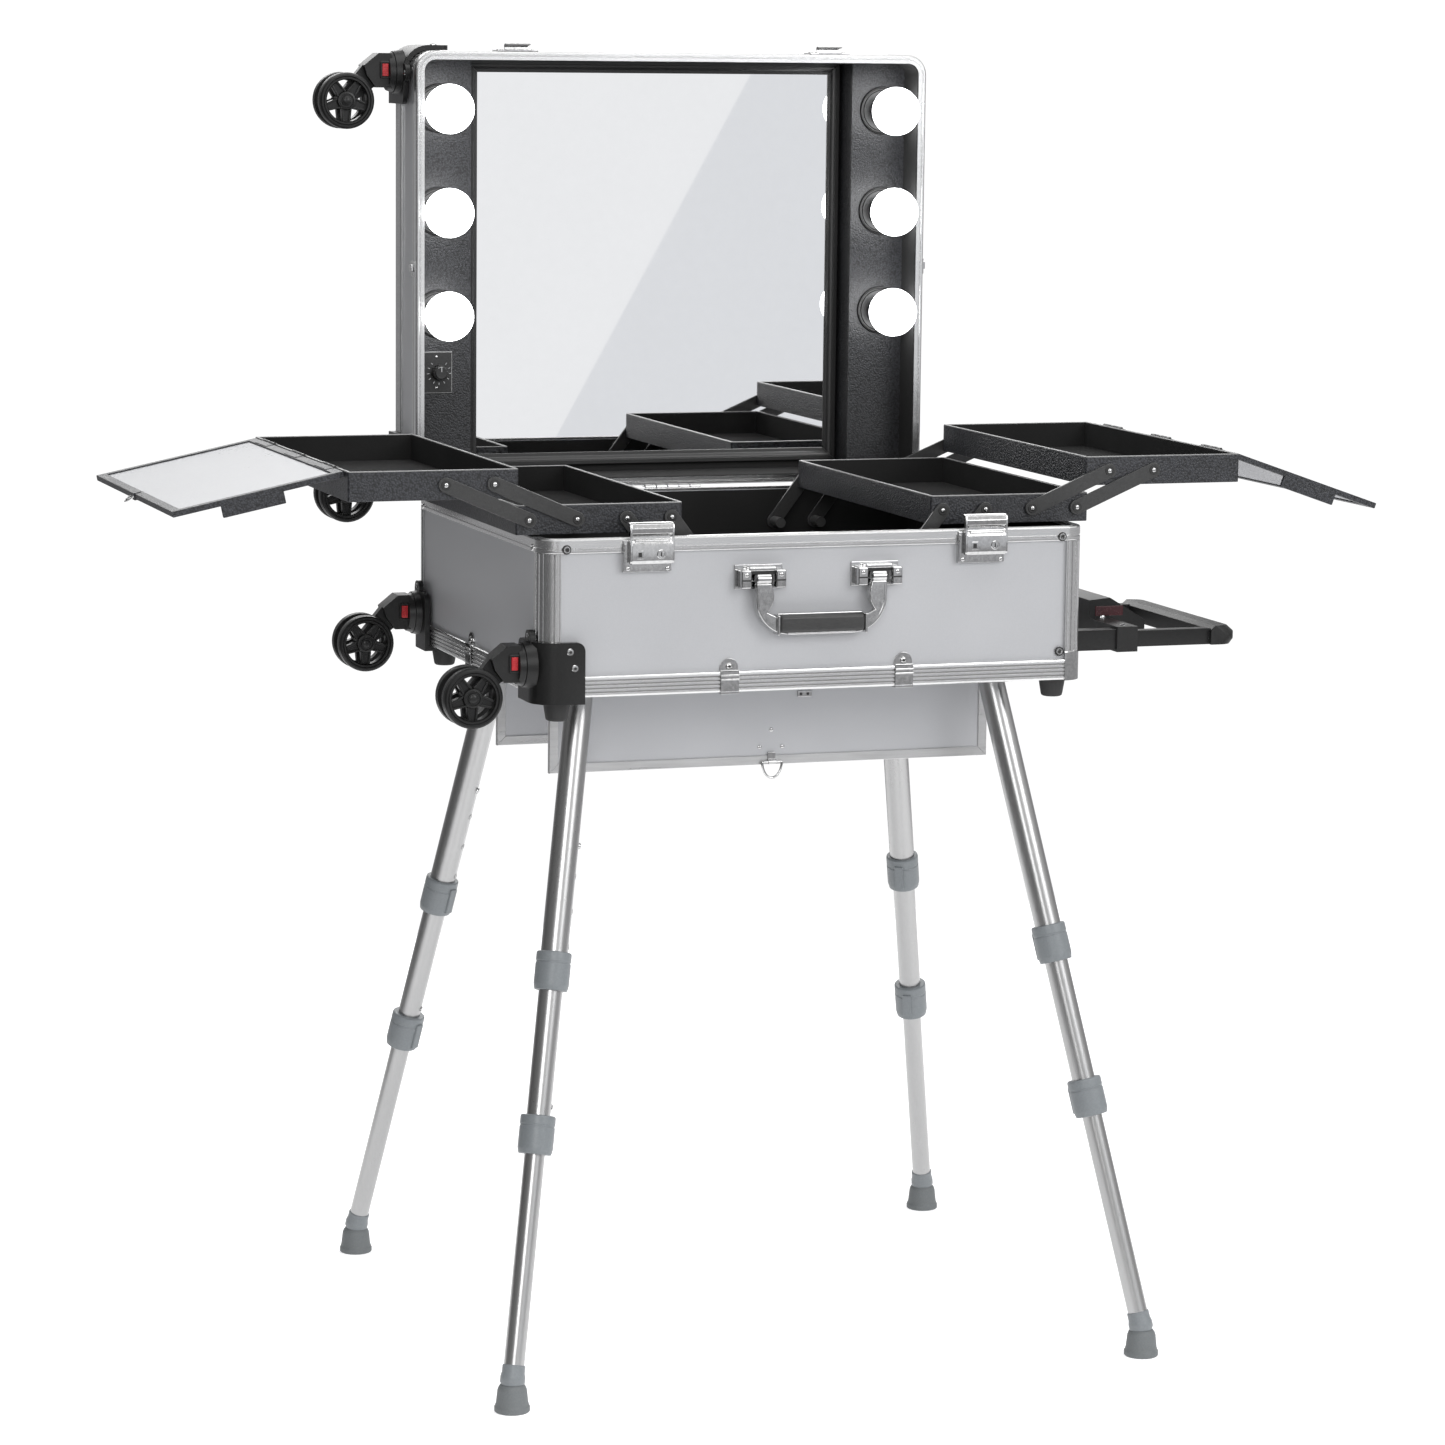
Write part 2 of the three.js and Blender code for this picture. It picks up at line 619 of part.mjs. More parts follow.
function tray(x1, z0, pins) {
  const x0 = x1 - TRAY_WIDTH;
  const outside = block(x0, x1, -TRAY_HALF_DEPTH, TRAY_HALF_DEPTH, z0, z0 + TRAY_HEIGHT);
  const inside = block(
    x0 + TRAY_WALL,
    x1 - TRAY_WALL,
    -TRAY_HALF_DEPTH + TRAY_WALL,
    TRAY_HALF_DEPTH - TRAY_WALL,
    z0 + TRAY_FLOOR,
    z0 + TRAY_HEIGHT + 1,
  );
  const holes = pins.flatMap((x) => [-1, 1].map((sideY) => pinHole(x, z0 + TRAY_HEIGHT / 2, sideY)));
  return cut(outside, inside, ...holes);
}

function bothSides(name, geometry, look) {
  add(name.replace('SIDE', 'right'), geometry, ...look);
  add(name.replace('SIDE', 'left'), place(geometry, MIRROR_X), ...look);
}

bothSides('tray_lower_SIDE', tray(trayOuterX, trayBottom, [...lowerTrayPins, ...upperLowPins]), LEATHERETTE);
bothSides(
  'tray_upper_SIDE',
  tray(trayOuterX + upperShift, trayBottom + upperRun[1], upperHighPins),
  LEATHERETTE,
);

// ------------------------------------------------------------ links of the tray linkages
const linkBack = -TRAY_HALF_DEPTH - SLIDE_GAP;
const linkFront = linkBack - LINK_THICKNESS;

function linkBar(x0, z0, x1, z1) {
  const run = new THREE.Vector2(x1 - x0, z1 - z0);
  const turn = run.angle();
  const r = LINK_WIDTH / 2;
  const shape = new THREE.Shape();
  shape.absarc(0, 0, r, Math.PI / 2, Math.PI * 1.5, false);
  shape.absarc(run.length(), 0, r, -Math.PI / 2, Math.PI / 2, false);
  const bar = new THREE.ExtrudeGeometry(shape, { depth: LINK_THICKNESS, bevelEnabled: false, curveSegments: 5 });
  const inPlane = place(bar, new THREE.Matrix4().makeRotationZ(turn));
  const upright = place(inPlane, new THREE.Matrix4().makeRotationX(Math.PI / 2));
  return moved(upright, x0, linkBack, z0);
}

function trayPin(x, z) {
  return join(
    rod([x, linkFront + 0.5, z], [x, -TRAY_HALF_DEPTH + TRAY_WALL - 0.3, z], LINK_PIN, 8),
    rod([x, linkFront - 1, z], [x, linkFront + 0.5, z], LINK_PIN + 1.2, 8),
  );
}

function wallPin(x, z) {
  const wall = -roomHalfDepth + FIT_GAP;
  return join(
    rod([x, linkFront + 0.5, z], [x, wall, z], SPACER_RADIUS, 8),
    rod([x, wall + 0.5, z], [x, wall - 2.6, z], LINK_PIN, 8),
  );
}

['outer', 'inner'].forEach((which, i) => {
  const highZ = pinHeight + upperRun[1];
  const upper = join(
    linkBar(upperLowPins[i], pinHeight, upperHighPins[i], highZ),
    trayPin(upperLowPins[i], pinHeight),
    trayPin(upperHighPins[i], highZ),
  );
  bothSides(`link_upper_SIDE_${which}`, upper, BLACK_PLASTIC);
  const lower = join(
    linkBar(lowerWallPins[i], wallPinHeight, lowerTrayPins[i], pinHeight),
    wallPin(lowerWallPins[i], wallPinHeight),
    trayPin(lowerTrayPins[i], pinHeight),
  );
  bothSides(`link_lower_SIDE_${which}`, lower, BLACK_PLASTIC);
});

// ------------------------------------------------------------ tray covers
const coverAxisX = trayOuterX + upperShift + 1;
const coverAxisZ = trayBottom + upperRun[1] + TRAY_HEIGHT + FIT_GAP;

function cover(angle) {
  const far = 1 + COVER_LENGTH;
  const plate = block(1, far, -COVER_HALF_DEPTH, COVER_HALF_DEPTH, -FIT_GAP - COVER_THICKNESS, -FIT_GAP);
  const y = COVER_HALF_DEPTH - COVER_BORDER;
  const relief = (z0, z1) => block(1 + COVER_BORDER, far - COVER_BORDER, -y, y, z0, z1);
  const under = -FIT_GAP - COVER_THICKNESS;
  const framed = cut(plate, relief(-FIT_GAP - COVER_RELIEF, 1), relief(under - 1, under + COVER_RELIEF));
  const tab = block(
    far * 0.36,
    far * 0.72,
    -COVER_HALF_DEPTH,
    -COVER_HALF_DEPTH + 4,
    under - COVER_TAB,
    under + 1,
  );
  const tilt = new THREE.Matrix4().makeRotationY(rad(angle));
  return moved(place(join(framed, tab), tilt), coverAxisX, 0, coverAxisZ);
}

add('cover_right', cover(RIGHT_COVER_ANGLE), ...LEATHERETTE);
add('cover_left', place(cover(LEFT_COVER_ANGLE), MIRROR_X), ...LEATHERETTE);

// ------------------------------------------------------------ latch levers
const faceY = -HALF_DEPTH;
const latchOutline = [
  [faceY - 1.5, RIM - 27],
  [faceY - 1.5, RIM + 9],
  [faceY + 5, RIM + 9],
  [faceY + 5, RIM + 12],
  [faceY - 4.5, RIM + 13],
  [faceY - 6.5, RIM + 5],
  [faceY - 6.5, RIM - 20],
  [faceY - 4, RIM - 27],
];
for (const [side, sign] of [['left', -1], ['right', 1]]) {
  const x0 = sign * LATCH_X - LATCH_HALF_WIDTH;
  add(`latch_${side}`, profileYZ(latchOutline, x0, x0 + 2 * LATCH_HALF_WIDTH), ...CHROME);
}

// ------------------------------------------------------------ front carrying handle
const handleY = faceY - HANDLE_AXIS_OUT;
const handleZ = BOTTOM_HEIGHT + HANDLE_AXIS_HEIGHT;
const lowZ = handleZ - HANDLE_DROP;
const bailCorner = 14;

// The bail is a flat U bent from round bar, its two feet turned in to sit in the mounts.
class BailPath extends THREE.Curve {
  constructor() {
    super();
    const corner = (x, z) => new THREE.Vector3(x, handleY, z);
    const w = HANDLE_HALF_SPAN;
    this.points = [
      corner(-w + 16, handleZ),
      corner(-w + 3, handleZ),
      corner(-w, handleZ - 4),
      corner(-w, lowZ + bailCorner),
      corner(-w + bailCorner * 0.3, lowZ + bailCorner * 0.3),
      corner(-w + bailCorner, lowZ),
    ];
    const mirrored = this.points.map((p) => corner(-p.x, p.z)).reverse();
    this.points.push(...mirrored);
  }

  getPoint(t, target = new THREE.Vector3()) {
    const last = this.points.length - 1;
    const at = Math.min(Math.floor(t * last + 1e-9), last - 1);
    return target.lerpVectors(this.points[at], this.points[at + 1], t * last - at);
  }
}
const bailPath = new BailPath();
const bailSteps = bailPath.points.length - 1;
const bailTube = closedTube(
  new THREE.TubeGeometry(evenly(bailPath), bailSteps, HANDLE_ROD, 10, false),
  bailPath,
  bailSteps,
  10,
);
const bailPieces = [
  bailTube,
  rod([-HANDLE_GRIP_HALF, handleY, lowZ], [HANDLE_GRIP_HALF, handleY, lowZ], HANDLE_GRIP_RADIUS, 16),
];
add('front_handle', join(...bailPieces), ...CHROME);

// ------------------------------------------------------------ trolley: sliding sleeve stage and handle
const trolleyZ = BOTTOM_HEIGHT + TROLLEY_HEIGHT;
const sleeveEnd = HALF_WIDTH + SLEEVE_OUT;
const railHalfWidth = SLEEVE_HALF_WIDTH - SLEEVE_WALL - SLIDE_GAP;
const railHalfHeight = SLEEVE_HALF_HEIGHT - SLEEVE_WALL - SLIDE_GAP;
const gripStart = sleeveEnd + RAIL_OUT;

const sleeves = [];
const bores = [];
for (const sign of [-1, 1]) {
  const y = sign * TROLLEY_HALF_SPAN;
  const z0 = trolleyZ - SLEEVE_HALF_HEIGHT;
  const z1 = trolleyZ + SLEEVE_HALF_HEIGHT;
  sleeves.push(block(
    sleeveEnd - SLEEVE_LENGTH,
    sleeveEnd + BRACE_LENGTH / 2,
    y - SLEEVE_HALF_WIDTH,
    y + SLEEVE_HALF_WIDTH,
    z0,
    z1,
  ));
  bores.push(block(
    0,
    sleeveEnd + BRACE_LENGTH + 1,
    y - railHalfWidth - SLIDE_GAP,
    y + railHalfWidth + SLIDE_GAP,
    trolleyZ - railHalfHeight - SLIDE_GAP,
    trolleyZ + railHalfHeight + SLIDE_GAP,
  ));
}
const braceHalf = TROLLEY_HALF_SPAN + SLEEVE_HALF_WIDTH + 3;
const brace = block(sleeveEnd, sleeveEnd + BRACE_LENGTH, -braceHalf, braceHalf, trolleyZ - 12, trolleyZ + 13);
const hump = profileXZ([
  [sleeveEnd, trolleyZ - 8],
  [sleeveEnd + 60, trolleyZ - 8],
  [sleeveEnd + 60, trolleyZ + 10],
  [sleeveEnd + 22, trolleyZ + 33],
  [sleeveEnd, trolleyZ + 31],
], -BRACE_HUMP, BRACE_HUMP);
add('trolley_sleeves', cut(join(brace, hump, ...sleeves), ...bores), ...BLACK_PLASTIC);

const rails = [-1, 1].map((sign) => block(
  gripStart - RAIL_LENGTH,
  gripStart + 5,
  sign * TROLLEY_HALF_SPAN - railHalfWidth,
  sign * TROLLEY_HALF_SPAN + railHalfWidth,
  trolleyZ - railHalfHeight,
  trolleyZ + railHalfHeight,
));
const grip = profileXZ([
  [gripStart, trolleyZ - 8],
  [gripStart + GRIP_LENGTH - 4, trolleyZ - 8],
  [gripStart + GRIP_LENGTH, trolleyZ - 3],
  [gripStart + GRIP_LENGTH, trolleyZ + 5],
  [gripStart + GRIP_LENGTH - 7, trolleyZ + 11],
  [gripStart + 5, trolleyZ + 11],
  [gripStart, trolleyZ + 7],
], -braceHalf, braceHalf);
add('trolley_handle', join(grip, ...rails), ...BLACK_PLASTIC);

// ------------------------------------------------------------ wheel brackets, casters and wheels
// Drawn for the left side of a case half, at the corner with negative local y.
const axisY = -HALF_DEPTH + CASTER_INSET_Y;
const outX = -HALF_WIDTH;
const bracketSkin = BRACKET_WALL + FIT_GAP;
const mountX = outX - bracketSkin - BRACKET_BOSS;

function grownSlab(growth, z0, z1) {
  return caseSlab(-growth, z0, z1);
}

function bracketBody() {
  const reach = block(
    outX - 30,
    outX + BRACKET_FRONT,
    -HALF_DEPTH - 30,
    -HALF_DEPTH + BRACKET_SIDE,
    -50,
    BRACKET_HEIGHT,
  );
  const skin = cut(
    common(grownSlab(bracketSkin, -bracketSkin, BRACKET_HEIGHT), reach),
    grownSlab(FIT_GAP, -FIT_GAP, BASE_HEIGHT),
  );
  const boss = rod([mountX, axisY, CASTER_HEIGHT], [outX - FIT_GAP - 1, axisY, CASTER_HEIGHT], 21, 24, 23);
  const ear = block(outX - bracketSkin, outX - FIT_GAP, axisY - 9, axisY + 9, BRACKET_HEIGHT - 2, BRACKET_HEIGHT + 10);
  const pivot = rod([mountX - 1, axisY, CASTER_HEIGHT], [mountX + 5, axisY, CASTER_HEIGHT], 5 + PIN_GAP, 14);
  return cut(join(skin, boss, ear), pivot);
}

const casterX = mountX - FIT_GAP;
const axleX = outX - WHEEL_REACH - 11;
const axleZ = CASTER_HEIGHT - CASTER_TRAIL;

function casterBody() {
  const at = ([out, up]) => [casterX - out, CASTER_HEIGHT + up];
  const reach = casterX - axleX;
  const wide = [[3, -15], [3, 19], [16, 19], [31, 7], [28, -3], [19, -15]];
  const narrow = [[17, 14], [31, 7], [reach + 8, -CASTER_TRAIL + 3], [reach, -CASTER_TRAIL - 8], [17, -13]];
  const bushing = WHEEL_GAP_HALF - 1;
  const wheelRoom = rod([axleX, axisY - 13, axleZ], [axleX, axisY + 13, axleZ], WHEEL_RADIUS + WHEEL_CLEARANCE, 24);
  const body = join(
    rod([casterX, axisY, CASTER_HEIGHT], [casterX - CASTER_DISC, axisY, CASTER_HEIGHT], 20, 24, 18),
    rod([casterX + 4.5, axisY, CASTER_HEIGHT], [casterX - 1, axisY, CASTER_HEIGHT], 5, 14),
    cut(profileXZ(wide.map(at), axisY - 12, axisY + 12), wheelRoom),
    profileXZ(narrow.map(at), axisY - bushing, axisY + bushing),
    rod([axleX, axisY - bushing, axleZ], [axleX, axisY + bushing, axleZ], 9, 16),
  );
  return cut(body, rod([axleX, axisY - 9, axleZ], [axleX, axisY + 9, axleZ], AXLE_RADIUS + PIN_GAP, 14));
}

function wheelBody() {
  const outer = WHEEL_GAP_HALF + WHEEL_DISC;
  const tyre = WHEEL_RADIUS;
  const half = [
    [AXLE_RADIUS, WHEEL_GAP_HALF],
    [tyre, WHEEL_GAP_HALF],
    [tyre, outer - 2],
    [tyre - 2, outer],
    [tyre - 6, outer],
    [tyre - 7, outer - 3],
    [0, outer - 3],
  ];
  const profile = [...half.map(([r, y]) => [r, -y]).reverse(), ...half];
  const body = new THREE.LatheGeometry(profile.map(([r, y]) => new THREE.Vector2(r, y)), 20);
  const windows = [];
  for (let i = 0; i < 5; i += 1) {
    const middle = rad(90 + 36 + i * 72);
    const corner = (radius, spread) => [
      radius * Math.cos(middle + rad(spread)),
      radius * Math.sin(middle + rad(spread)),
    ];
    const outline = [corner(9.5, -15), corner(19.5, -24), corner(19.5, 24), corner(9.5, 15)];
    windows.push(profileXZ(outline, -outer - 1, outer + 1));
  }
  return moved(cut(place(body, new THREE.Matrix4()), ...windows), axleX, axisY, axleZ);
}

const bracket = bracketBody();
const caster = casterBody();
const wheel = wheelBody();
// The turn brings each caster round until its wheel hangs below the swivel axis.
const WHEEL_PLACES = [
  ['base_front', BASE_PLACE, 0],
  ['base_rear', BASE_PLACE.clone().multiply(MIRROR_Y), 0],
  ['lid_top', LID_PLACE, Math.PI / 2],
  ['lid_bottom', LID_PLACE.clone().multiply(MIRROR_Y), -Math.PI / 2],
];
for (const [name, matrix, turn] of WHEEL_PLACES) {
  const hang = new THREE.Matrix4().makeTranslation(0, axisY, CASTER_HEIGHT)
    .multiply(new THREE.Matrix4().makeRotationX(turn))
    .multiply(new THREE.Matrix4().makeTranslation(0, -axisY, -CASTER_HEIGHT));
  const hung = matrix.clone().multiply(hang);
  add(`wheel_bracket_${name}`, place(bracket, matrix), ...BLACK_PLASTIC);
  add(`caster_${name}`, place(caster, hung), ...BLACK_PLASTIC);
  add(`wheel_${name}`, place(wheel, hung), ...BLACK_PLASTIC);
}

// ------------------------------------------------------------ telescopic legs
const middleRadius = UPPER_TUBE_RADIUS - TUBE_WALL - SLIDE_GAP;
const lowerRadius = middleRadius - TUBE_WALL - SLIDE_GAP;
const legLength = legFoot.distanceTo(legTop) - LEG_TILT_DROP;

// A turned piece standing along the leg: profile points are [radius, distance down the leg].
function turnedOnLeg(profile, segments = 14) {
  const points = profile.map(([r, d]) => new THREE.Vector2(r, -d));
  const lathe = new THREE.LatheGeometry(points.reverse(), segments);
  const turn = new THREE.Quaternion().setFromUnitVectors(new THREE.Vector3(0, -1, 0), legRun);
  const start = new THREE.Vector3(...onLeg(0));
  return place(lathe, new THREE.Matrix4().compose(start, turn, new THREE.Vector3(1, 1, 1)));
}

// Tube end, collar and bore of a section that the next one slides in.
function collared(outer, end) {
  const inner = outer - TUBE_WALL;
  return [
    [outer, end - COLLAR_LENGTH],
    [COLLAR_RADIUS, end - COLLAR_LENGTH],
    [COLLAR_RADIUS, end - 4],
    [COLLAR_RADIUS - 1, end],
    [inner, end],
  ];
}

const upperLeg = turnedOnLeg([
  [0, -STUD_LENGTH],
  [STUD_RADIUS, -STUD_LENGTH],
  [STUD_RADIUS, 0],
  [UPPER_TUBE_RADIUS, 0],
  ...collared(UPPER_TUBE_RADIUS, UPPER_TUBE_END),
  [UPPER_TUBE_RADIUS - TUBE_WALL, 12],
  [0, 12],
]);
const middleLeg = turnedOnLeg([
  [middleRadius - TUBE_WALL, MIDDLE_TUBE_TOP],
  [middleRadius, MIDDLE_TUBE_TOP],
  ...collared(middleRadius, MIDDLE_TUBE_END),
  [middleRadius - TUBE_WALL, MIDDLE_TUBE_TOP],
]);
const lowerTube = turnedOnLeg([
  [0, legLength - 24],
  [lowerRadius - TUBE_WALL, legLength - 24],
  [lowerRadius - TUBE_WALL, LOWER_TUBE_TOP],
  [lowerRadius, LOWER_TUBE_TOP],
  [lowerRadius, legLength - 10],
  [lowerRadius + 2, legLength - 6],
  [lowerRadius + 2, legLength - 1],
  [lowerRadius - 2, legLength + 5],
  [0, legLength + 5],
]);
const bootProfile = [
  [0, 0],
  [FOOT_RADIUS, 0],
  [FOOT_RADIUS, 5],
  [FOOT_RADIUS - 3, FOOT_HEIGHT - 4],
  [FOOT_RADIUS - 6, FOOT_HEIGHT],
  [0, FOOT_HEIGHT],
].map(([r, z]) => new THREE.Vector2(r, z));
const standing = new THREE.Matrix4().makeRotationX(Math.PI / 2);
const boot = moved(place(new THREE.LatheGeometry(bootProfile, 16), standing), LEG_FOOT_X, FOOT_Y, 0);
const lowerLeg = join(lowerTube, boot);
for (const [corner, sideX, sideY] of CORNERS) {
  add(`leg_${corner}_upper`, legCorner(upperLeg, sideX, sideY), ...ALUMINIUM);
  add(`leg_${corner}_middle`, legCorner(middleLeg, sideX, sideY), ...ALUMINIUM);
  add(`leg_${corner}_lower`, legCorner(lowerLeg, sideX, sideY), ...GREY_PLASTIC);
}

// ------------------------------------------------------------ the object
// The two covers stand at different slopes, so their reach differs; this keeps the origin in the middle.
function coverReach(angle) {
  return (1 + COVER_LENGTH) * Math.cos(rad(angle)) - FIT_GAP * Math.sin(rad(angle));
}
const centreX = (coverReach(RIGHT_COVER_ANGLE) - coverReach(LEFT_COVER_ANGLE)) / 2;

const group = new THREE.Group();
group.name = 'makeup_train_case';
for (const { name, geometry, colour, roughness, metalness } of parts) {
  const centred = moved(geometry, -centreX, 0, 0);
  centred.computeVertexNormals();
  const material = new THREE.MeshStandardMaterial({ color: colour, roughness, metalness });
  material.name = `${name}_material`;
  const mesh = new THREE.Mesh(centred, material);
  mesh.name = name;
  group.add(mesh);
}

export default group;
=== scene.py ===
import math

import bmesh
import bpy
from mathutils import Matrix, Vector


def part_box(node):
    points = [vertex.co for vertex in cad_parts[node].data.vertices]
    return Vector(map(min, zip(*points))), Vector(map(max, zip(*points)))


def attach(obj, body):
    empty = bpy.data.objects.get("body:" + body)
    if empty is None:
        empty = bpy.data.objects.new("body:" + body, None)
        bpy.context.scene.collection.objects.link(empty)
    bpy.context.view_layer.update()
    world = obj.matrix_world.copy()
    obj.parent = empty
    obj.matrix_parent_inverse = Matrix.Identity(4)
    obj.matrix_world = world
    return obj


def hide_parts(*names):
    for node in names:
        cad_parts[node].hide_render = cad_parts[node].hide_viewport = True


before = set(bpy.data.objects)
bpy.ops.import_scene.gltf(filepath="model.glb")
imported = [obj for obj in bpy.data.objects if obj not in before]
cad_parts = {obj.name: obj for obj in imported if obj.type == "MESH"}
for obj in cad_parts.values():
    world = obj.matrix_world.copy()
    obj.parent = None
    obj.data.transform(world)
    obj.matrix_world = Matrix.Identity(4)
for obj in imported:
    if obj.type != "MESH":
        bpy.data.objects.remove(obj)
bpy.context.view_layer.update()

# ---------------------------------------------------------------- studio: camera, lamps, floor
# A pale seamless floor under soft boxes, with the camera standing to the left of the case's front.
# Lengths in this file are millimetres, measured from the middle of the case, and turn into metres in Piece.
MM = 0.001
case_low, case_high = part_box("base_frame")
MIDDLE_X = (case_low.x + case_high.x) / 2 / MM
scene = bpy.context.scene
scene.view_settings.view_transform = "Standard"

LOOK_ALONG = Vector((0.31977681, 0.93570877, -0.14896944))
LOOK_RIGHT = Vector((0.94674102, -0.32181143, 0.01090185))
LOOK_UP = Vector((0.03773911, 0.14452163, 0.9887817))
STAND_AT = Vector((-1449.5 + MIDDLE_X, -4187.3, 1252.1)) * MM
SENSOR = 36.0

camera = bpy.data.objects.new("camera", bpy.data.cameras.new("camera"))
scene.collection.objects.link(camera)
camera.data.sensor_width = SENSOR
camera.data.lens = SENSOR * 4568.66 / 1445
camera.data.clip_end = 100
turn = Matrix((LOOK_RIGHT, LOOK_UP, -LOOK_ALONG)).transposed()
camera.matrix_world = Matrix.Translation(STAND_AT) @ turn.to_4x4()
scene.camera = camera


def soft_box(name, place, aim, width, height, power):
    data = bpy.data.lights.new(name, "AREA")
    data.shape = "RECTANGLE"
    data.size = width
    data.size_y = height
    data.energy = power
    lamp = bpy.data.objects.new(name, data)
    scene.collection.objects.link(lamp)
    lamp.location = place
    lamp.rotation_euler = (Vector(aim) - Vector(place)).to_track_quat("-Z", "Y").to_euler()
    return lamp


soft_box("box_front_right", (2.0, -3.3, 2.4), (0.0, 0.0, 0.8), 1.8, 1.8, 52)
soft_box("box_front_left", (-1.5, -3.6, 2.0), (0.0, 0.0, 0.7), 1.2, 2.2, 46)
soft_box("box_above", (0.0, -0.2, 3.4), (0.0, 0.0, 0.7), 3.0, 2.0, 42)
soft_box("box_behind", (0.6, 3.2, 2.4), (0.0, 0.0, 0.8), 2.4, 1.4, 30)

world = bpy.data.worlds.new("studio")
scene.world = world
world.use_nodes = True
nodes, links = world.node_tree.nodes, world.node_tree.links
nodes.clear()
out = nodes.new("ShaderNodeOutputWorld")
mix = nodes.new("ShaderNodeMixShader")
seen = nodes.new("ShaderNodeBackground")
seen.inputs["Color"].default_value = (1, 1, 1, 1)
seen.inputs["Strength"].default_value = 1.05
around = nodes.new("ShaderNodeBackground")
around.inputs["Strength"].default_value = 1.0
path = nodes.new("ShaderNodeLightPath")
ramp = nodes.new("ShaderNodeValToRGB")
place = nodes.new("ShaderNodeTexCoord")
parts = nodes.new("ShaderNodeSeparateXYZ")
lift = nodes.new("ShaderNodeMapRange")
lift.inputs["From Min"].default_value = -1
lift.inputs["From Max"].default_value = 1
links.new(place.outputs["Generated"], parts.inputs[0])
links.new(parts.outputs["Z"], lift.inputs["Value"])
links.new(lift.outputs["Result"], ramp.inputs["Fac"])
stops = ramp.color_ramp.elements
stops[0].position, stops[0].color = 0.20, (0.32, 0.32, 0.325, 1)
stops[1].position, stops[1].color = 0.50, (0.50, 0.50, 0.51, 1)
for position, value in ((0.56, 0.30), (0.62, 0.85), (0.80, 0.95), (1.0, 0.75)):
    stop = stops.new(position)
    stop.color = (value, value, value, 1)
shade = nodes.new("ShaderNodeMapRange")
shade.interpolation_type = "SMOOTHSTEP"
shade.inputs["From Min"].default_value = -0.95
shade.inputs["From Max"].default_value = 0.15
shade.inputs["To Min"].default_value = 0.30
shade.inputs["To Max"].default_value = 1.0
dim = nodes.new("ShaderNodeMix")
dim.data_type = "RGBA"
dim.blend_type = "MULTIPLY"
dim.inputs["Factor"].default_value = 1.0
links.new(parts.outputs["X"], shade.inputs["Value"])
links.new(ramp.outputs["Color"], dim.inputs["A"])
links.new(shade.outputs["Result"], dim.inputs["B"])
links.new(dim.outputs["Result"], around.inputs["Color"])
links.new(path.outputs["Is Camera Ray"], mix.inputs["Fac"])
links.new(around.outputs[0], mix.inputs[1])
links.new(seen.outputs[0], mix.inputs[2])
links.new(mix.outputs[0], out.inputs["Surface"])


def flat_card(name, corners, colour, glow=0.0, roughness=0.8, lit=1.0):
    mesh = bpy.data.meshes.new(name)
    mesh.from_pydata([Vector(c) for c in corners], [], [tuple(range(len(corners)))])
    card = bpy.data.objects.new(name, mesh)
    scene.collection.objects.link(card)
    material = bpy.data.materials.new(name)
    material.use_nodes = True
    shader = material.node_tree.nodes["Principled BSDF"]
    shader.inputs["Base Color"].default_value = (*(c * lit for c in colour), 1)
    shader.inputs["Roughness"].default_value = roughness
    shader.inputs["Emission Color"].default_value = (*colour, 1)
    shader.inputs["Emission Strength"].default_value = glow
    mesh.materials.append(material)
    return card


flat_card("floor", [(-1.3, -1.6, 0), (2.2, -1.6, 0), (2.2, 1.9, 0), (-1.3, 1.9, 0)], (0.8, 0.8, 0.805),
          0.62)
# The mirror faces away from the room, so two pale cards behind the camera give it something to show.
flat_card("card_far", [(0.2, -6.55, 0.02), (5.0, -6.55, 0.02), (5.0, -6.55, 2.4), (0.2, -6.55, 2.4)],
          (0.770, 0.785, 0.815), 1.0, lit=0.0)
flat_card("card_near", [(0.2, -6.50, 0.02), (1.829, -6.50, 0.02), (3.164, -6.50, 2.4), (0.2, -6.50, 2.4)],
          (0.905, 0.914, 0.932), 1.0, lit=0.0)

# ---------------------------------------------------------------- case frames: grooved aluminium
# Each half is edged by anodised aluminium extrusions: a wide grooved rail round the outer edge, a narrower
# rim round the opening and a fluted post at each corner, riveted together round the silver boards.
CASE_WIDTH, CASE_DEPTH = 540.0, 436.0
BASE_HEIGHT, LID_HEIGHT = 147.0, 82.0
BOTTOM, RIM = 648.0, 795.0
CORNER = 20.0
FRONT_Y, SIDE_X = -CASE_DEPTH / 2, CASE_WIDTH / 2
# Ways to lay a piece: as it is drawn, or turned so that its Z runs along X.
AS_DRAWN = Matrix.Identity(4)
LIE_IN_X = Matrix.Rotation(math.pi / 2, 4, "Y")
LID_BACK = 302.0
LID_MIDDLE, LID_TOP = 1015.0, 1233.0
ON_BASE = Matrix.Translation((0, 0, BOTTOM))
ON_LID = Matrix(((1, 0, 0, 0), (0, 0, -1, LID_BACK), (0, -1, 0, LID_MIDDLE), (0, 0, 0, 1)))
FLIP_X = Matrix.Scale(-1, 4, (1, 0, 0))
FLIP_Y = Matrix.Scale(-1, 4, (0, 1, 0))


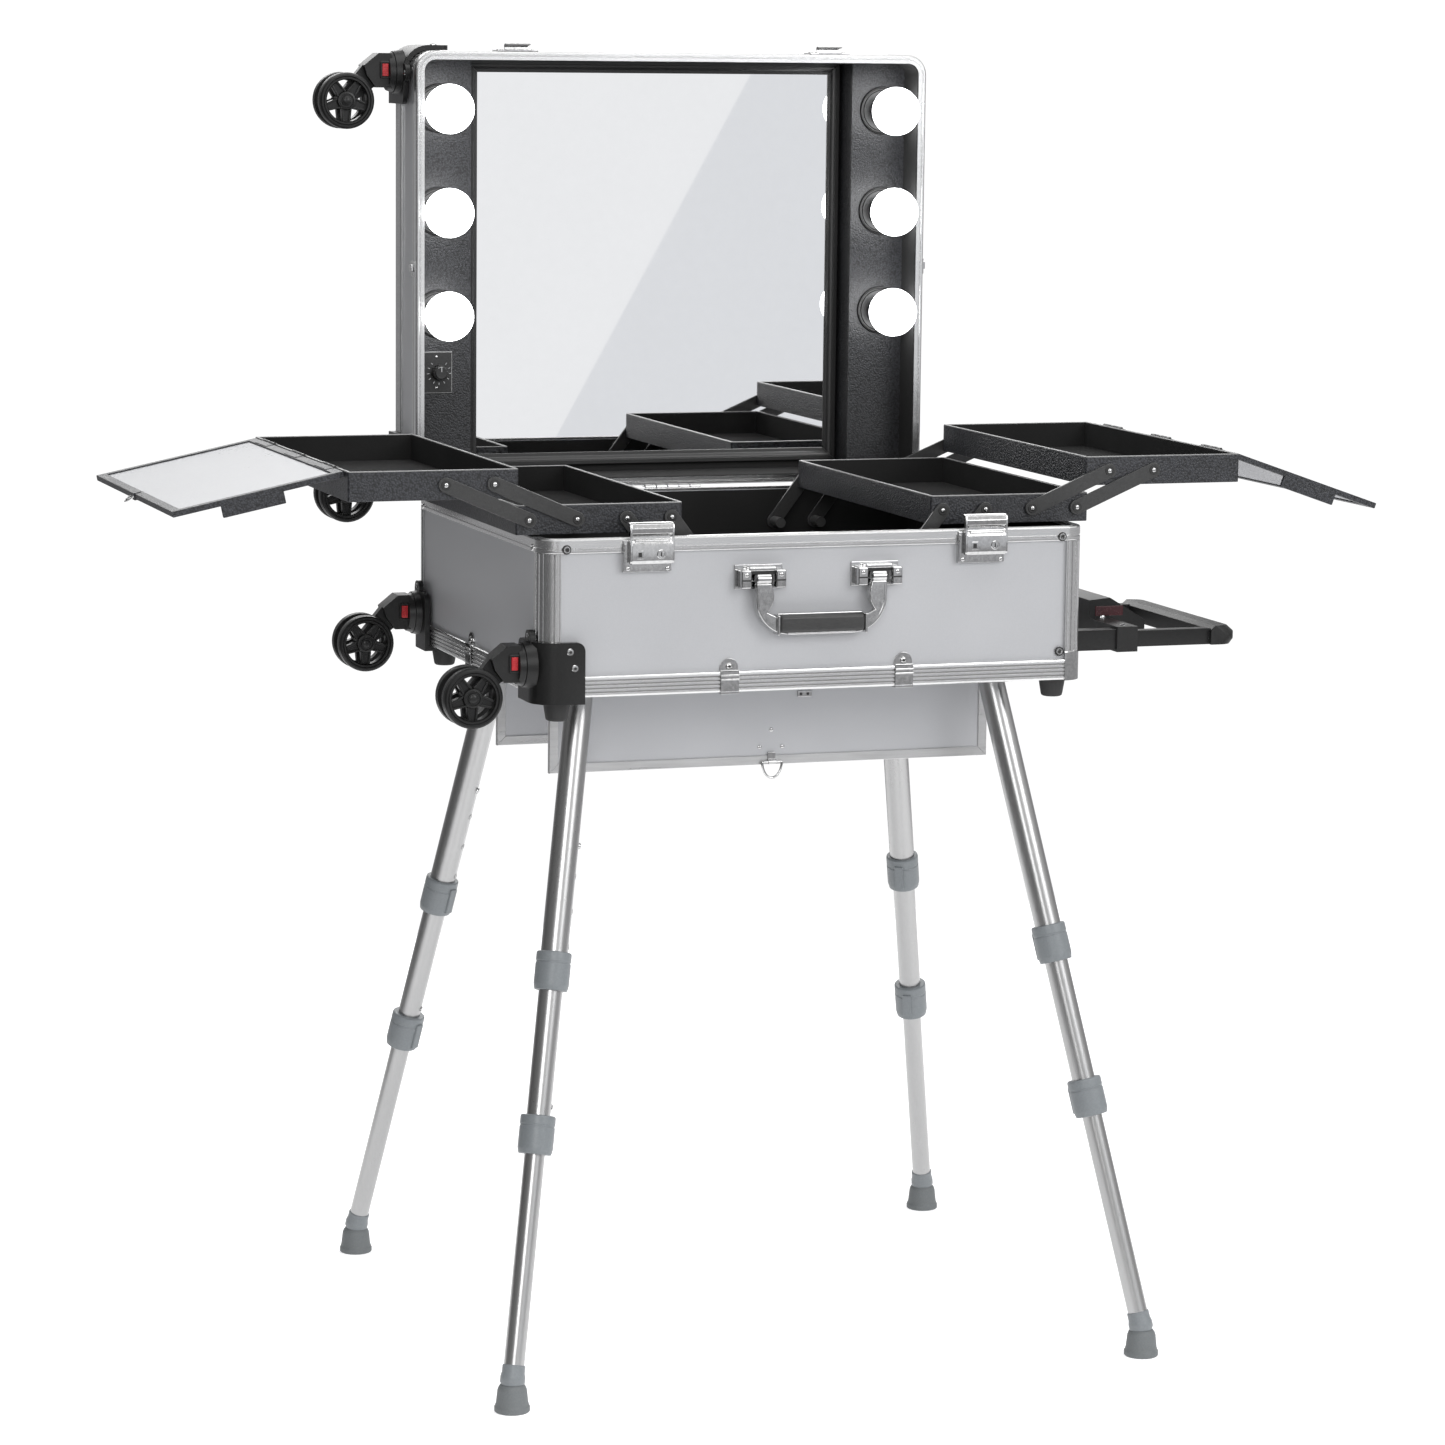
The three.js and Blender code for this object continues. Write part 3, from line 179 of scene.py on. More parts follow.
class Piece:
    """The surfaces of one piece, gathered in millimetres and then set on a body of the frame."""

    def __init__(self):
        self.points, self.faces, self.looks = [], [], []

    def add(self, surface, look=0, matrix=None):
        points, faces = surface
        start = len(self.points)
        for point in points:
            self.points.append(matrix @ Vector(point) if matrix else Vector(point))
        for face in faces:
            self.faces.append([start + i for i in face])
            self.looks.append(look)
        return self

    def set_on(self, body, name, materials, stands_for=(), slot=None, crease=32):
        mesh = bpy.data.meshes.new(name)
        points = [((p.x + MIDDLE_X) * MM, p.y * MM, p.z * MM) for p in self.points]
        mesh.from_pydata(points, [], self.faces)
        for material in materials:
            mesh.materials.append(material)
        mesh.polygons.foreach_set("material_index", self.looks)
        solid = bmesh.new()
        solid.from_mesh(mesh)
        bmesh.ops.recalc_face_normals(solid, faces=solid.faces)
        solid.to_mesh(mesh)
        solid.free()
        mesh.shade_smooth()
        mesh.set_sharp_from_angle(angle=math.radians(crease))
        item = bpy.data.objects.new(name, mesh)
        scene.collection.objects.link(item)
        even = item.modifiers.new("even_faces", "WEIGHTED_NORMAL")
        even.keep_sharp = True
        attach(item, body)
        if stands_for:
            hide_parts(*stands_for)
        return item


def rounded_outline(width, depth, radius, steps=7):
    """Corners of a rectangle in the XY plane, rounded with the given radius, anticlockwise."""
    if radius <= 0:
        return [(-width / 2, -depth / 2), (width / 2, -depth / 2), (width / 2, depth / 2),
                (-width / 2, depth / 2)]
    points = []
    for i, (sx, sy) in enumerate(((-1, -1), (1, -1), (1, 1), (-1, 1))):
        cx, cy = sx * (width / 2 - radius), sy * (depth / 2 - radius)
        for k in range(steps + 1):
            angle = math.pi + math.pi / 2 * (i + k / steps)
            points.append((cx + radius * math.cos(angle), cy + radius * math.sin(angle)))
    return points


def hoop(profile, width, depth, radius, steps=7):
    """A closed profile of (inset, height) points run round a rounded rectangle."""
    points, faces = [], []
    rings = []
    for inset, height in profile:
        outline = rounded_outline(width - 2 * inset, depth - 2 * inset,
                                  max(radius - inset, 0.4) if radius else 0, steps)
        rings.append(list(range(len(points), len(points) + len(outline))))
        points += [(x, y, height) for x, y in outline]
    for a, b in zip(rings, rings[1:] + rings[:1]):
        for i in range(len(a)):
            j = (i + 1) % len(a)
            faces.append((a[i], a[j], b[j], b[i]))
    return points, faces


def new_group(name, wanted, given):
    """A shader node group with its sockets; wanted and given are (socket name, socket type, value)."""
    group = bpy.data.node_groups.new(name, "ShaderNodeTree")
    for socket, kind, value in wanted:
        made = group.interface.new_socket(name=socket, in_out="INPUT", socket_type=kind)
        made.default_value = value
    for socket, kind in given:
        group.interface.new_socket(name=socket, in_out="OUTPUT", socket_type=kind)
    return group, group.nodes.new("NodeGroupInput"), group.nodes.new("NodeGroupOutput")


FLOAT, COLOUR, VECTOR = "NodeSocketFloat", "NodeSocketColor", "NodeSocketVector"

# Grain: uneven tone, sheen and height, drawn out along one direction for brushed or extruded metal.
grain, g_in, g_out = new_group(
    "surface_grain",
    [("Dark", COLOUR, (0.4, 0.4, 0.4, 1)), ("Light", COLOUR, (0.6, 0.6, 0.6, 1)), ("Scale", FLOAT, 300.0),
     ("Stretch", VECTOR, (1, 1, 1)), ("Smoothest", FLOAT, 0.3), ("Roughest", FLOAT, 0.45)],
    [("Colour", COLOUR), ("Roughness", FLOAT), ("Height", FLOAT)],
)
spot = grain.nodes.new("ShaderNodeTexCoord")
scaled = grain.nodes.new("ShaderNodeVectorMath")
scaled.operation = "MULTIPLY"
fine = grain.nodes.new("ShaderNodeTexNoise")
fine.inputs["Detail"].default_value = 3
fine.inputs["Roughness"].default_value = 0.6
broad = grain.nodes.new("ShaderNodeTexNoise")
broad.inputs["Scale"].default_value = 9
broad.inputs["Detail"].default_value = 2
both = grain.nodes.new("ShaderNodeMath")
both.operation = "MULTIPLY_ADD"
both.inputs[1].default_value = 0.6
part = grain.nodes.new("ShaderNodeMath")
part.operation = "MULTIPLY"
part.inputs[1].default_value = 0.4
tone = grain.nodes.new("ShaderNodeMix")
tone.data_type = "RGBA"
spread = grain.nodes.new("ShaderNodeMapRange")
spread.inputs["From Min"].default_value = 0.3
spread.inputs["From Max"].default_value = 0.7
sheen = grain.nodes.new("ShaderNodeMapRange")
for a, b in ((spot.outputs["Object"], scaled.inputs[0]), (g_in.outputs["Stretch"], scaled.inputs[1]),
             (scaled.outputs[0], fine.inputs["Vector"]), (g_in.outputs["Scale"], fine.inputs["Scale"]),
             (spot.outputs["Object"], broad.inputs["Vector"]), (broad.outputs["Fac"], part.inputs[0]),
             (fine.outputs["Fac"], both.inputs[0]), (part.outputs[0], both.inputs[2]),
             (both.outputs[0], spread.inputs["Value"]), (spread.outputs["Result"], tone.inputs["Factor"]),
             (g_in.outputs["Dark"], tone.inputs["A"]), (g_in.outputs["Light"], tone.inputs["B"]),
             (tone.outputs["Result"], g_out.inputs["Colour"]),
             (spread.outputs["Result"], sheen.inputs["Value"]),
             (g_in.outputs["Smoothest"], sheen.inputs["To Min"]),
             (g_in.outputs["Roughest"], sheen.inputs["To Max"]),
             (sheen.outputs["Result"], g_out.inputs["Roughness"]),
             (fine.outputs["Fac"], g_out.inputs["Height"]),):
    grain.links.new(a, b)

# Worn edges: the tone shifts where the surface turns sharply outwards, broken up by noise.
wear, w_in, w_out = new_group(
    "edge_wear",
    [("Colour", COLOUR, (0.1, 0.1, 0.1, 1)), ("Worn", COLOUR, (0.4, 0.4, 0.4, 1)), ("Amount", FLOAT, 0.5)],
    [("Colour", COLOUR)],
)
shape = wear.nodes.new("ShaderNodeNewGeometry")
edge = wear.nodes.new("ShaderNodeMapRange")
edge.inputs["From Min"].default_value = 0.51
edge.inputs["From Max"].default_value = 0.60
patch = wear.nodes.new("ShaderNodeTexNoise")
patch.inputs["Scale"].default_value = 120
chance = wear.nodes.new("ShaderNodeMath")
chance.operation = "MULTIPLY"
share = wear.nodes.new("ShaderNodeMath")
share.operation = "MULTIPLY"
over = wear.nodes.new("ShaderNodeMix")
over.data_type = "RGBA"
for a, b in (
    (shape.outputs["Pointiness"], edge.inputs["Value"]), (edge.outputs["Result"], chance.inputs[0]),
    (patch.outputs["Fac"], chance.inputs[1]), (chance.outputs[0], share.inputs[0]),
    (w_in.outputs["Amount"], share.inputs[1]), (share.outputs[0], over.inputs["Factor"]),
    (w_in.outputs["Colour"], over.inputs["A"]), (w_in.outputs["Worn"], over.inputs["B"]),
    (over.outputs["Result"], w_out.inputs["Colour"]),
):
    wear.links.new(a, b)

# Pebbled leatherette: small rounded cells with narrow valleys between them.
# The Valley mask marks where finish_of dims the skin colour as painted shade.
pebble, p_in, p_out = new_group("pebbled_skin", [("Scale", FLOAT, 900.0)],
                                [("Height", FLOAT), ("Valley", FLOAT)])
spot = pebble.nodes.new("ShaderNodeTexCoord")
cells = pebble.nodes.new("ShaderNodeTexVoronoi")
cells.feature = "SMOOTH_F1"
cells.inputs["Smoothness"].default_value = 0.35
valley = pebble.nodes.new("ShaderNodeMapRange")
valley.inputs["From Min"].default_value = 0.35
valley.inputs["From Max"].default_value = 0.75
rounded = pebble.nodes.new("ShaderNodeMath")
rounded.operation = "SUBTRACT"
rounded.inputs[0].default_value = 1.0
for a, b in (
    (spot.outputs["Object"], cells.inputs["Vector"]), (p_in.outputs["Scale"], cells.inputs["Scale"]),
    (cells.outputs["Distance"], valley.inputs["Value"]), (valley.outputs["Result"], p_out.inputs["Valley"]),
    (cells.outputs["Distance"], rounded.inputs[1]), (rounded.outputs[0], p_out.inputs["Height"]),
):
    pebble.links.new(a, b)


def grey(value, warmth=0.0):
    return (value * (1 + warmth), value, value * (1 - warmth), 1)


def finish_of(name, dark, light, scale=400, stretch=(1, 1, 1), smoothest=0.3, roughest=0.45, metal=0.0,
              bump=0.1, depth=0.0002, coat=0.0, worn=None, wear_amount=0.5, skin=0, glow=None, shine=0.5):
    """A material: grained tone and sheen, with bump, and if asked worn edges, pebbled skin or a glow."""
    material = bpy.data.materials.new(name)
    material.use_nodes = True
    tree = material.node_tree
    shader = tree.nodes["Principled BSDF"]
    shader.inputs["Metallic"].default_value = metal
    shader.inputs["Coat Weight"].default_value = coat
    shader.inputs["Specular IOR Level"].default_value = shine
    base = tree.nodes.new("ShaderNodeGroup")
    base.node_tree = grain
    base.inputs["Dark"].default_value = dark
    base.inputs["Light"].default_value = light
    base.inputs["Scale"].default_value = scale
    base.inputs["Stretch"].default_value = stretch
    base.inputs["Smoothest"].default_value = smoothest
    base.inputs["Roughest"].default_value = roughest
    colour, height = base.outputs["Colour"], base.outputs["Height"]
    tree.links.new(base.outputs["Roughness"], shader.inputs["Roughness"])
    if skin:
        cover = tree.nodes.new("ShaderNodeGroup")
        cover.node_tree = pebble
        cover.inputs["Scale"].default_value = skin
        # Painted shade: the colour in the pebble valleys drops to 0.45 of the dark tone.
        valley_shade = tree.nodes.new("ShaderNodeMix")
        valley_shade.data_type = "RGBA"
        valley_shade.inputs["B"].default_value = tuple(c * 0.45 for c in dark[:3]) + (1,)
        tree.links.new(cover.outputs["Valley"], valley_shade.inputs["Factor"])
        tree.links.new(colour, valley_shade.inputs["A"])
        colour, height = valley_shade.outputs["Result"], cover.outputs["Height"]
    if worn:
        rubbed = tree.nodes.new("ShaderNodeGroup")
        rubbed.node_tree = wear
        rubbed.inputs["Worn"].default_value = worn
        rubbed.inputs["Amount"].default_value = wear_amount
        tree.links.new(colour, rubbed.inputs["Colour"])
        colour = rubbed.outputs["Colour"]
    tree.links.new(colour, shader.inputs["Base Color"])
    if glow:
        tree.links.new(colour, shader.inputs["Emission Color"])
        shader.inputs["Emission Strength"].default_value = glow
    relief = tree.nodes.new("ShaderNodeBump")
    relief.inputs["Strength"].default_value = bump
    relief.inputs["Distance"].default_value = depth
    tree.links.new(height, relief.inputs["Height"])
    tree.links.new(relief.outputs["Normal"], shader.inputs["Normal"])
    return material


extrusion = finish_of("anodised_extrusion", grey(0.66), grey(0.72), 700, (0.04, 0.04, 1), 0.21, 0.26, 1.0,
                      0.012, worn=grey(0.80), wear_amount=0.25)

# Painted shade: the groove bottoms are given a dim grey, below the faces' tone, for the shade that falls in
# them.
groove_shade = finish_of("groove_shade", grey(0.24), grey(0.30), 500, (1, 1, 1), 0.45, 0.6, 1.0, 0.02)

RAIL_GROOVES = (4.4, 8.0, 11.6, 15.2)
RAIL_PROFILE = [(12, 0), (2.6, 0), (1.1, 0.4), (0.3, 1.2), (0, 2.4)]
for level in RAIL_GROOVES:
    RAIL_PROFILE += [(0, level - 0.9), (0.9, level - 0.35), (0.9, level + 0.35), (0, level + 0.9)]
RAIL_PROFILE += [(0, 18.2), (0.4, 19.4), (1.4, 20), (3, 20), (3, 2), (12, 2)]


def rim_profile(height):
    low = height - 14
    return [(3, low), (1.2, low), (0.3, low + 0.5), (0, low + 1.4), (0, low + 3.6), (0.8, low + 4.2),
            (0.8, low + 5.0), (0, low + 5.6), (0, low + 12.2), (0.6, low + 13.4), (1.8, low + 14),
            (3.4, low + 14), (3.9, low + 13.3), (4.6, low + 13.3), (5.1, low + 14), (8.6, low + 14),
            (8.6, low + 12), (3, low + 12)]


def groove_line(level):
    """The shaded bottom of one groove, all the way round."""
    return hoop([(0.84, level - 0.42), (0.84, level + 0.42), (1.3, level + 0.42), (1.3, level - 0.42)],
                CASE_WIDTH, CASE_DEPTH, CORNER, 9)


def fluted_post(low, high, sign_x, sign_y, flute=0.85, depth=3):
    """A quarter round corner post with upright flutes."""
    centre = (sign_x * (CASE_WIDTH / 2 - CORNER), sign_y * (CASE_DEPTH / 2 - CORNER))
    outer = []
    steps = 54
    for i in range(steps + 1):
        share = i / steps
        groove = flute if (share * 6) % 1 > 0.72 and 0.02 < share < 0.98 else 0.0
        radius = CORNER - groove - (0.78 if flute == 0 else 0)
        angle = math.radians(90 * share)
        outer.append((centre[0] + sign_x * radius * math.cos(angle), centre[1]
                      + sign_y * radius * math.sin(angle)))
    inner = []
    for i in range(8, -1, -1):
        angle = math.radians(90 * i / 8)
        inner.append((centre[0] + sign_x * (20 - depth) * math.cos(angle),
                      centre[1] + sign_y * (20 - depth) * math.sin(angle)))
    outline = outer + inner
    count = len(outline)
    points = [(x, y, low) for x, y in outline] + [(x, y, high) for x, y in outline]
    faces = [(i, (i + 1) % count, count + (i + 1) % count, count + i) for i in range(count)]
    faces += [tuple(range(count)), tuple(range(2 * count - 1, count - 1, -1))]
    return points, faces


for half, height, matrix, body in (("base", BASE_HEIGHT, ON_BASE, "base"),
                                   ("lid", LID_HEIGHT, ON_LID, "lid")):
    framing = Piece()
    framing.add(hoop(RAIL_PROFILE, CASE_WIDTH, CASE_DEPTH, CORNER, 9), 0, matrix)
    framing.add(hoop(rim_profile(height), CASE_WIDTH, CASE_DEPTH, CORNER, 9), 0, matrix)
    for sign_x in (-1, 1):
        for sign_y in (-1, 1):
            framing.add(fluted_post(20, height - 14, sign_x, sign_y), 0, matrix)
            # Painted shade: a plain round just inside the flutes shows in their bottoms in the groove_shade
            # grey.
            framing.add(fluted_post(20.2, height - 14.2, sign_x, sign_y, 0, 1.3), 1, matrix)
    # Painted shade: a ring of the same grey lies in each rail groove and in the rim groove.
    for level in (*RAIL_GROOVES, height - 9.4):
        framing.add(groove_line(level), 1, matrix)
    framing.set_on(body, f"{half}_extrusions", [extrusion, groove_shade], [f"{half}_frame"],
                   "bright_extrusion", 24)

# ---------------------------------------------------------------- case boards and lining
# Thin boards faced with silver laminate slide into the extrusions. Inside, the lower half is lined
# with black flocked cloth that covers its walls and floor.
FLOOR_TOP = 44.0


def softened(surface, radius, steps=2, angle=25):
    """The same solid with its sharp edges rounded off."""
    points, faces = surface
    solid = bmesh.new()
    made = [solid.verts.new(point) for point in points]
    for face in faces:
        solid.faces.new([made[i] for i in face])
    bmesh.ops.recalc_face_normals(solid, faces=solid.faces)
    return rounded_off(solid, radius, steps, angle)


def rounded_off(solid, radius, steps, angle):
    least = math.radians(angle)
    sharp = [e for e in solid.edges if len(e.link_faces) == 2 and e.calc_face_angle(0) > least]
    bmesh.ops.bevel(solid, geom=sharp, offset=radius, offset_type="OFFSET", segments=steps, profile=0.5,
                    affect="EDGES", clamp_overlap=True)
    solid.verts.index_update()
    result = [tuple(v.co) for v in solid.verts], [[v.index for v in f.verts] for f in solid.faces]
    solid.free()
    return result


def solid_of(node, radius, steps=2, angle=25, picked=None, wide=8.0):
    """A frame solid as a surface in millimetres, its flat faces merged and its edges rounded off.

    The edges that picked chooses are first rounded with the wider radius.
    """
    solid = bmesh.new()
    solid.from_mesh(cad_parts[node].data)
    for vertex in solid.verts:
        vertex.co = vertex.co / MM - Vector((MIDDLE_X, 0, 0))
    bmesh.ops.remove_doubles(solid, verts=solid.verts, dist=0.01)
    bmesh.ops.dissolve_limit(solid, angle_limit=math.radians(1.5), verts=solid.verts, edges=solid.edges)
    if picked:
        chosen = [e for e in solid.edges if e.is_convex and e.calc_face_angle(0) > 1.5
                  and picked(*(v.co for v in e.verts))]
        bmesh.ops.bevel(solid, geom=chosen, offset=wide, offset_type="OFFSET", segments=6, profile=0.5,
                        affect="EDGES", clamp_overlap=True)
    return rounded_off(solid, radius, steps, angle)


def prism(outline, low, high):
    """A flat outline in the XY plane, drawn up between two heights."""
    count = len(outline)
    points = [(x, y, low) for x, y in outline] + [(x, y, high) for x, y in outline]
    faces = [(i, (i + 1) % count, count + (i + 1) % count, count + i) for i in range(count)]
    faces += [tuple(range(count - 1, -1, -1)), tuple(range(count, 2 * count))]
    return points, faces


def block(x0, x1, y0, y1, z0, z1, radius=0.6, steps=2):
    outline = [(min(x0, x1), min(y0, y1)), (max(x0, x1), min(y0, y1)), (max(x0, x1), max(y0, y1)),
               (min(x0, x1), max(y0, y1))]
    return softened(prism(outline, z0, z1), radius, steps)


def case_outline(inset, steps=9):
    return rounded_outline(CASE_WIDTH - 2 * inset, CASE_DEPTH - 2 * inset, max(CORNER - inset, 1), steps)


laminate = finish_of("silver_laminate", (0.415, 0.42, 0.435, 1), (0.465, 0.47, 0.485, 1), 1400, (1, 1, 1),
                     0.36, 0.46, 0.30, 0.05, 0.0001)
lining = finish_of("black_flock", grey(0.010), grey(0.024), 2600, (1, 1, 1), 0.85, 0.97, 0.0, 0.4, 0.0003,
                   shine=0.08)

Piece().add(solid_of("base_shell", 0.35)).set_on("base", "base_boards", [laminate], ["base_shell"],
                                                 "silver_board")
Piece().add(solid_of("lid_shell", 0.35)).set_on("lid", "lid_boards", [laminate], ["lid_shell"],
                                                "silver_board")

inside = Piece()
inside.add(hoop([(8.5, 44.4), (8.5, 143.6), (8.9, 144), (9.5, 144), (9.9, 143.6), (9.9, 44.4)],
                CASE_WIDTH, CASE_DEPTH, CORNER, 9), 0, ON_BASE)
inside.add(prism(case_outline(9.7), FLOOR_TOP + 0.2, FLOOR_TOP + 1.4), 0, ON_BASE)
inside.set_on("base", "base_lining", [lining], (), "lid_leatherette")

# ---------------------------------------------------------------- rivets, clips and bumpers on the case
# Hollow rivets pin the extrusions at every corner, bright spring clips hook over the lower rail, and
# rubber bumpers stand under the corners.
def turned(profile, segments=36):
    """A turned solid about Z from (radius, height) points."""
    points, faces, rings = [], [], []
    for radius, height in profile:
        start = len(points)
        if radius < 1e-6:
            points.append((0, 0, height))
            rings.append([start])
            continue
        for i in range(segments):
            angle = 2 * math.pi * i / segments
            points.append((radius * math.cos(angle), radius * math.sin(angle), height))
        rings.append(list(range(start, start + segments)))
    closed = profile[0][0] > 1e-6 or profile[-1][0] > 1e-6
    for a, b in zip(rings, rings[1:] + (rings[:1] if closed else [])):
        if len(a) == 1 and len(b) == 1:
            continue
        for i in range(segments):
            j = (i + 1) % segments
            if len(a) == 1:
                faces.append((a[0], b[j], b[i]))
            elif len(b) == 1:
                faces.append((a[i], a[j], b[0]))
            else:
                faces.append((a[i], a[j], b[j], b[i]))
    return points, faces


def facing(at, direction, up=(0, 0, 1)):
    """Stands a piece drawn on the XY plane at a point, its Z along the given direction."""
    z = Vector(direction).normalized()
    x = Vector(up).cross(z)
    if x.length < 1e-4:
        x = Vector((1, 0, 0)) if abs(z.x) < 0.9 else Vector((0, 1, 0))
    x.normalize()
    matrix = Matrix((x, z.cross(x), z)).transposed().to_4x4()
    matrix.translation = Vector(at)
    return matrix


def dome(radius, height, sink=0.6):
    return turned([(0, -sink), (radius * 0.94, -sink), (radius, 0.1), (radius * 0.96, height * 0.35),
                   (radius * 0.78, height * 0.72), (radius * 0.45, height * 0.94), (0, height)], 20)


def eyelet(radius, height, sink=0.6):
    return turned([(0, -sink), (radius, -sink), (radius, height * 0.4), (radius * 0.86, height),
                   (radius * 0.62, height), (radius * 0.44, height * 0.3), (0, height * 0.1)], 20)


chrome = finish_of("bright_nickel", grey(0.42), grey(0.62), 300, (1, 1, 1), 0.07, 0.16, 1.0, 0.03, 0.0001)
# Painted shade: a near black for holes, slots, keyholes and gaps between parts, and for rings under rivet
# heads.
recess_shade = finish_of("painted_recess_shade", grey(0.008), grey(0.02), 500, (1, 1, 1), 0.5, 0.7)
rubber = finish_of("black_rubber", grey(0.010), grey(0.020), 900, (1, 1, 1), 0.55, 0.75, 0.0, 0.2, 0.0002)

SIDES = (((0, -1, 0), FRONT_Y), ((0, 1, 0), -FRONT_Y))
RIM_RIVET_Z, RAIL_RIVET_Z = 785.2, 675.5
CLIP_X, SIDE_CLIP_Y = 86.5, 22
BUMPER_X, BUMPER_Y = 247, 195
fixings = Piece()
for direction, face in SIDES:
    for x in (-245, 245):
        for place in ((x, face, RIM_RIVET_Z), (x, face + (1.6 if face < 0 else -1.6), RAIL_RIVET_Z)):
            # The wider disc under each rivet shows round its head as a ring of painted shade.
            fixings.add(turned([(0, -0.6), (4.4, -0.6), (4.4, 0.2), (4.0, 0.5), (0, 0.5)], 24), 1,
                        facing(place, direction))
            fixings.add(eyelet(3.5, 1.7), 0, facing(place, direction))
for side in (-1, 1):
    for y in (-192, 192):
        fixings.add(eyelet(3.3, 1.1), 0, facing((side * SIDE_X, y, RIM_RIVET_Z), (side, 0, 0)))


def rail_clip():
    """A spring clip drawn against a side of the case: X along the rail, Y up from its lower edge."""
    clip = Piece()
    head = [(-9, 13)] + [(9 * math.cos(math.radians(a)), 23
                          + 9 * math.sin(math.radians(a))) for a in range(180, -1, -12)]
    head += [(9, 13)]
    clip.add(softened(prism(head, -3.4, -2.0), 0.4), 0)
    clip.add(block(-9, 9, 1.0, 21, 0.1, 1.5, 0.5), 0)
    clip.add(block(-9, 9, 19.6, 21, -3.2, 1.5, 0.4), 0)
    clip.add(block(-9, 9, -1.3, 1.6, -9, 1.5, 0.5), 0)
    for level in (11.5, 15.5):
        clip.add(block(-9.2, 9.2, level, level + 1.6, 1.2, 2.3, 0.5), 0)
    clip.add(dome(3.4, 1.8), 0, Matrix.Translation((0, 24.5, -2.0)))
    clip.add(turned([(0, 0), (1.5, 0), (1.5, 0.2), (0, 0.2)], 6), 1, Matrix.Translation((0, 24.5, -0.25)))
    return clip


CLIP_PLACES = [facing((x, face, BOTTOM), direction) for direction, face in SIDES for x in (-CLIP_X, CLIP_X)]
CLIP_PLACES += [facing((-SIDE_X, SIDE_CLIP_Y, BOTTOM), (-1, 0, 0))]
for matrix in CLIP_PLACES:
    clip = rail_clip()
    start = len(fixings.points)
    fixings.points += [matrix @ p for p in clip.points]
    fixings.faces += [[start + i for i in face] for face in clip.faces]
    fixings.looks += clip.looks

# A plated cap wraps the lower end of each right-hand corner post.
CAP_FROM_X, CAP_FROM_Y = 243, 191
for direction in (1, -1):
    cap = hoop([(-1.0, -0.4), (-1.0, 26), (-0.2, 27.5), (0.6, 27.5), (0.6, -0.4)], CASE_WIDTH, CASE_DEPTH,
               CORNER, 9)
    kept = [i for i, (x, y, z) in enumerate(cap[0]) if x > CAP_FROM_X and y * direction < -CAP_FROM_Y]
    place = {old: new for new, old in enumerate(kept)}
    part = [cap[0][i] for i in kept]
    faces = [[place[i] for i in face] for face in cap[1] if all(i in place for i in face)]
    ends = bmesh.new()
    made = [ends.verts.new(p) for p in part]
    for face in faces:
        ends.faces.new([made[i] for i in face])
    bmesh.ops.holes_fill(ends, edges=ends.edges, sides=0)
    ends.verts.index_update()
    closed = [tuple(v.co) for v in ends.verts], [[v.index for v in f.verts] for f in ends.faces]
    ends.free()
    fixings.add(closed, 0, ON_BASE)
fixings.set_on("base", "case_fixings", [chrome, recess_shade], (), "chrome_fitting")

bumpers = Piece()
for side_x in (-1, 1):
    for side_y in (-1, 1):
        top = 642.9 if side_x < 0 else 648.4
        profile = [(0, 0), (8.6, 0), (9.8, 0.8), (10.4, 2.5), (12.6, 15.5), (12.9, 17.2), (12.9, 18.6),
                   (0, 18.6)]
        stand = Matrix.Translation((side_x * BUMPER_X, side_y * BUMPER_Y, top - 18.2))
        bumpers.add(turned(profile), 0, stand)
bumpers.set_on("base", "corner_bumpers", [rubber], (), "black_plastic")

# ---------------------------------------------------------------- bay doors and pull ring
# Two laminate doors with mitred aluminium edging hang open under the case. A wire ring in a folded
# strap pulls the front one, and a small catch plate holds it shut.
DOOR_TOP, DOOR_LOW, DOOR_FACE = 649.0, 557.5, -92.0


def mitred_edging(profile, width, depth, gap=0.35):
    """Four bars round a rectangle, cut at 45 degrees with a hairline joint at each corner."""
    points, faces = [], []
    corners = [rounded_outline(width - 2 * inset, depth - 2 * inset, 0) for inset, _ in profile]
    for k in range(4):
        start = len(points)
        for end, shift in ((k, 1), ((k + 1) % 4, -1)):
            for (inset, height), outline in zip(profile, corners):
                a, b = Vector(outline[k]), Vector(outline[(k + 1) % 4])
                along = (b - a).normalized() * gap / 2 * shift
                corner = Vector(outline[end]) + along
                points.append((corner.x, corner.y, height))
        count = len(profile)
        for i in range(count):
            j = (i + 1) % count
            faces.append((start + i, start + j, start + count + j, start + count + i))
        faces.append(tuple(start + i for i in range(count)))
        faces.append(tuple(start + count + i for i in range(count - 1, -1, -1)))
    return points, faces


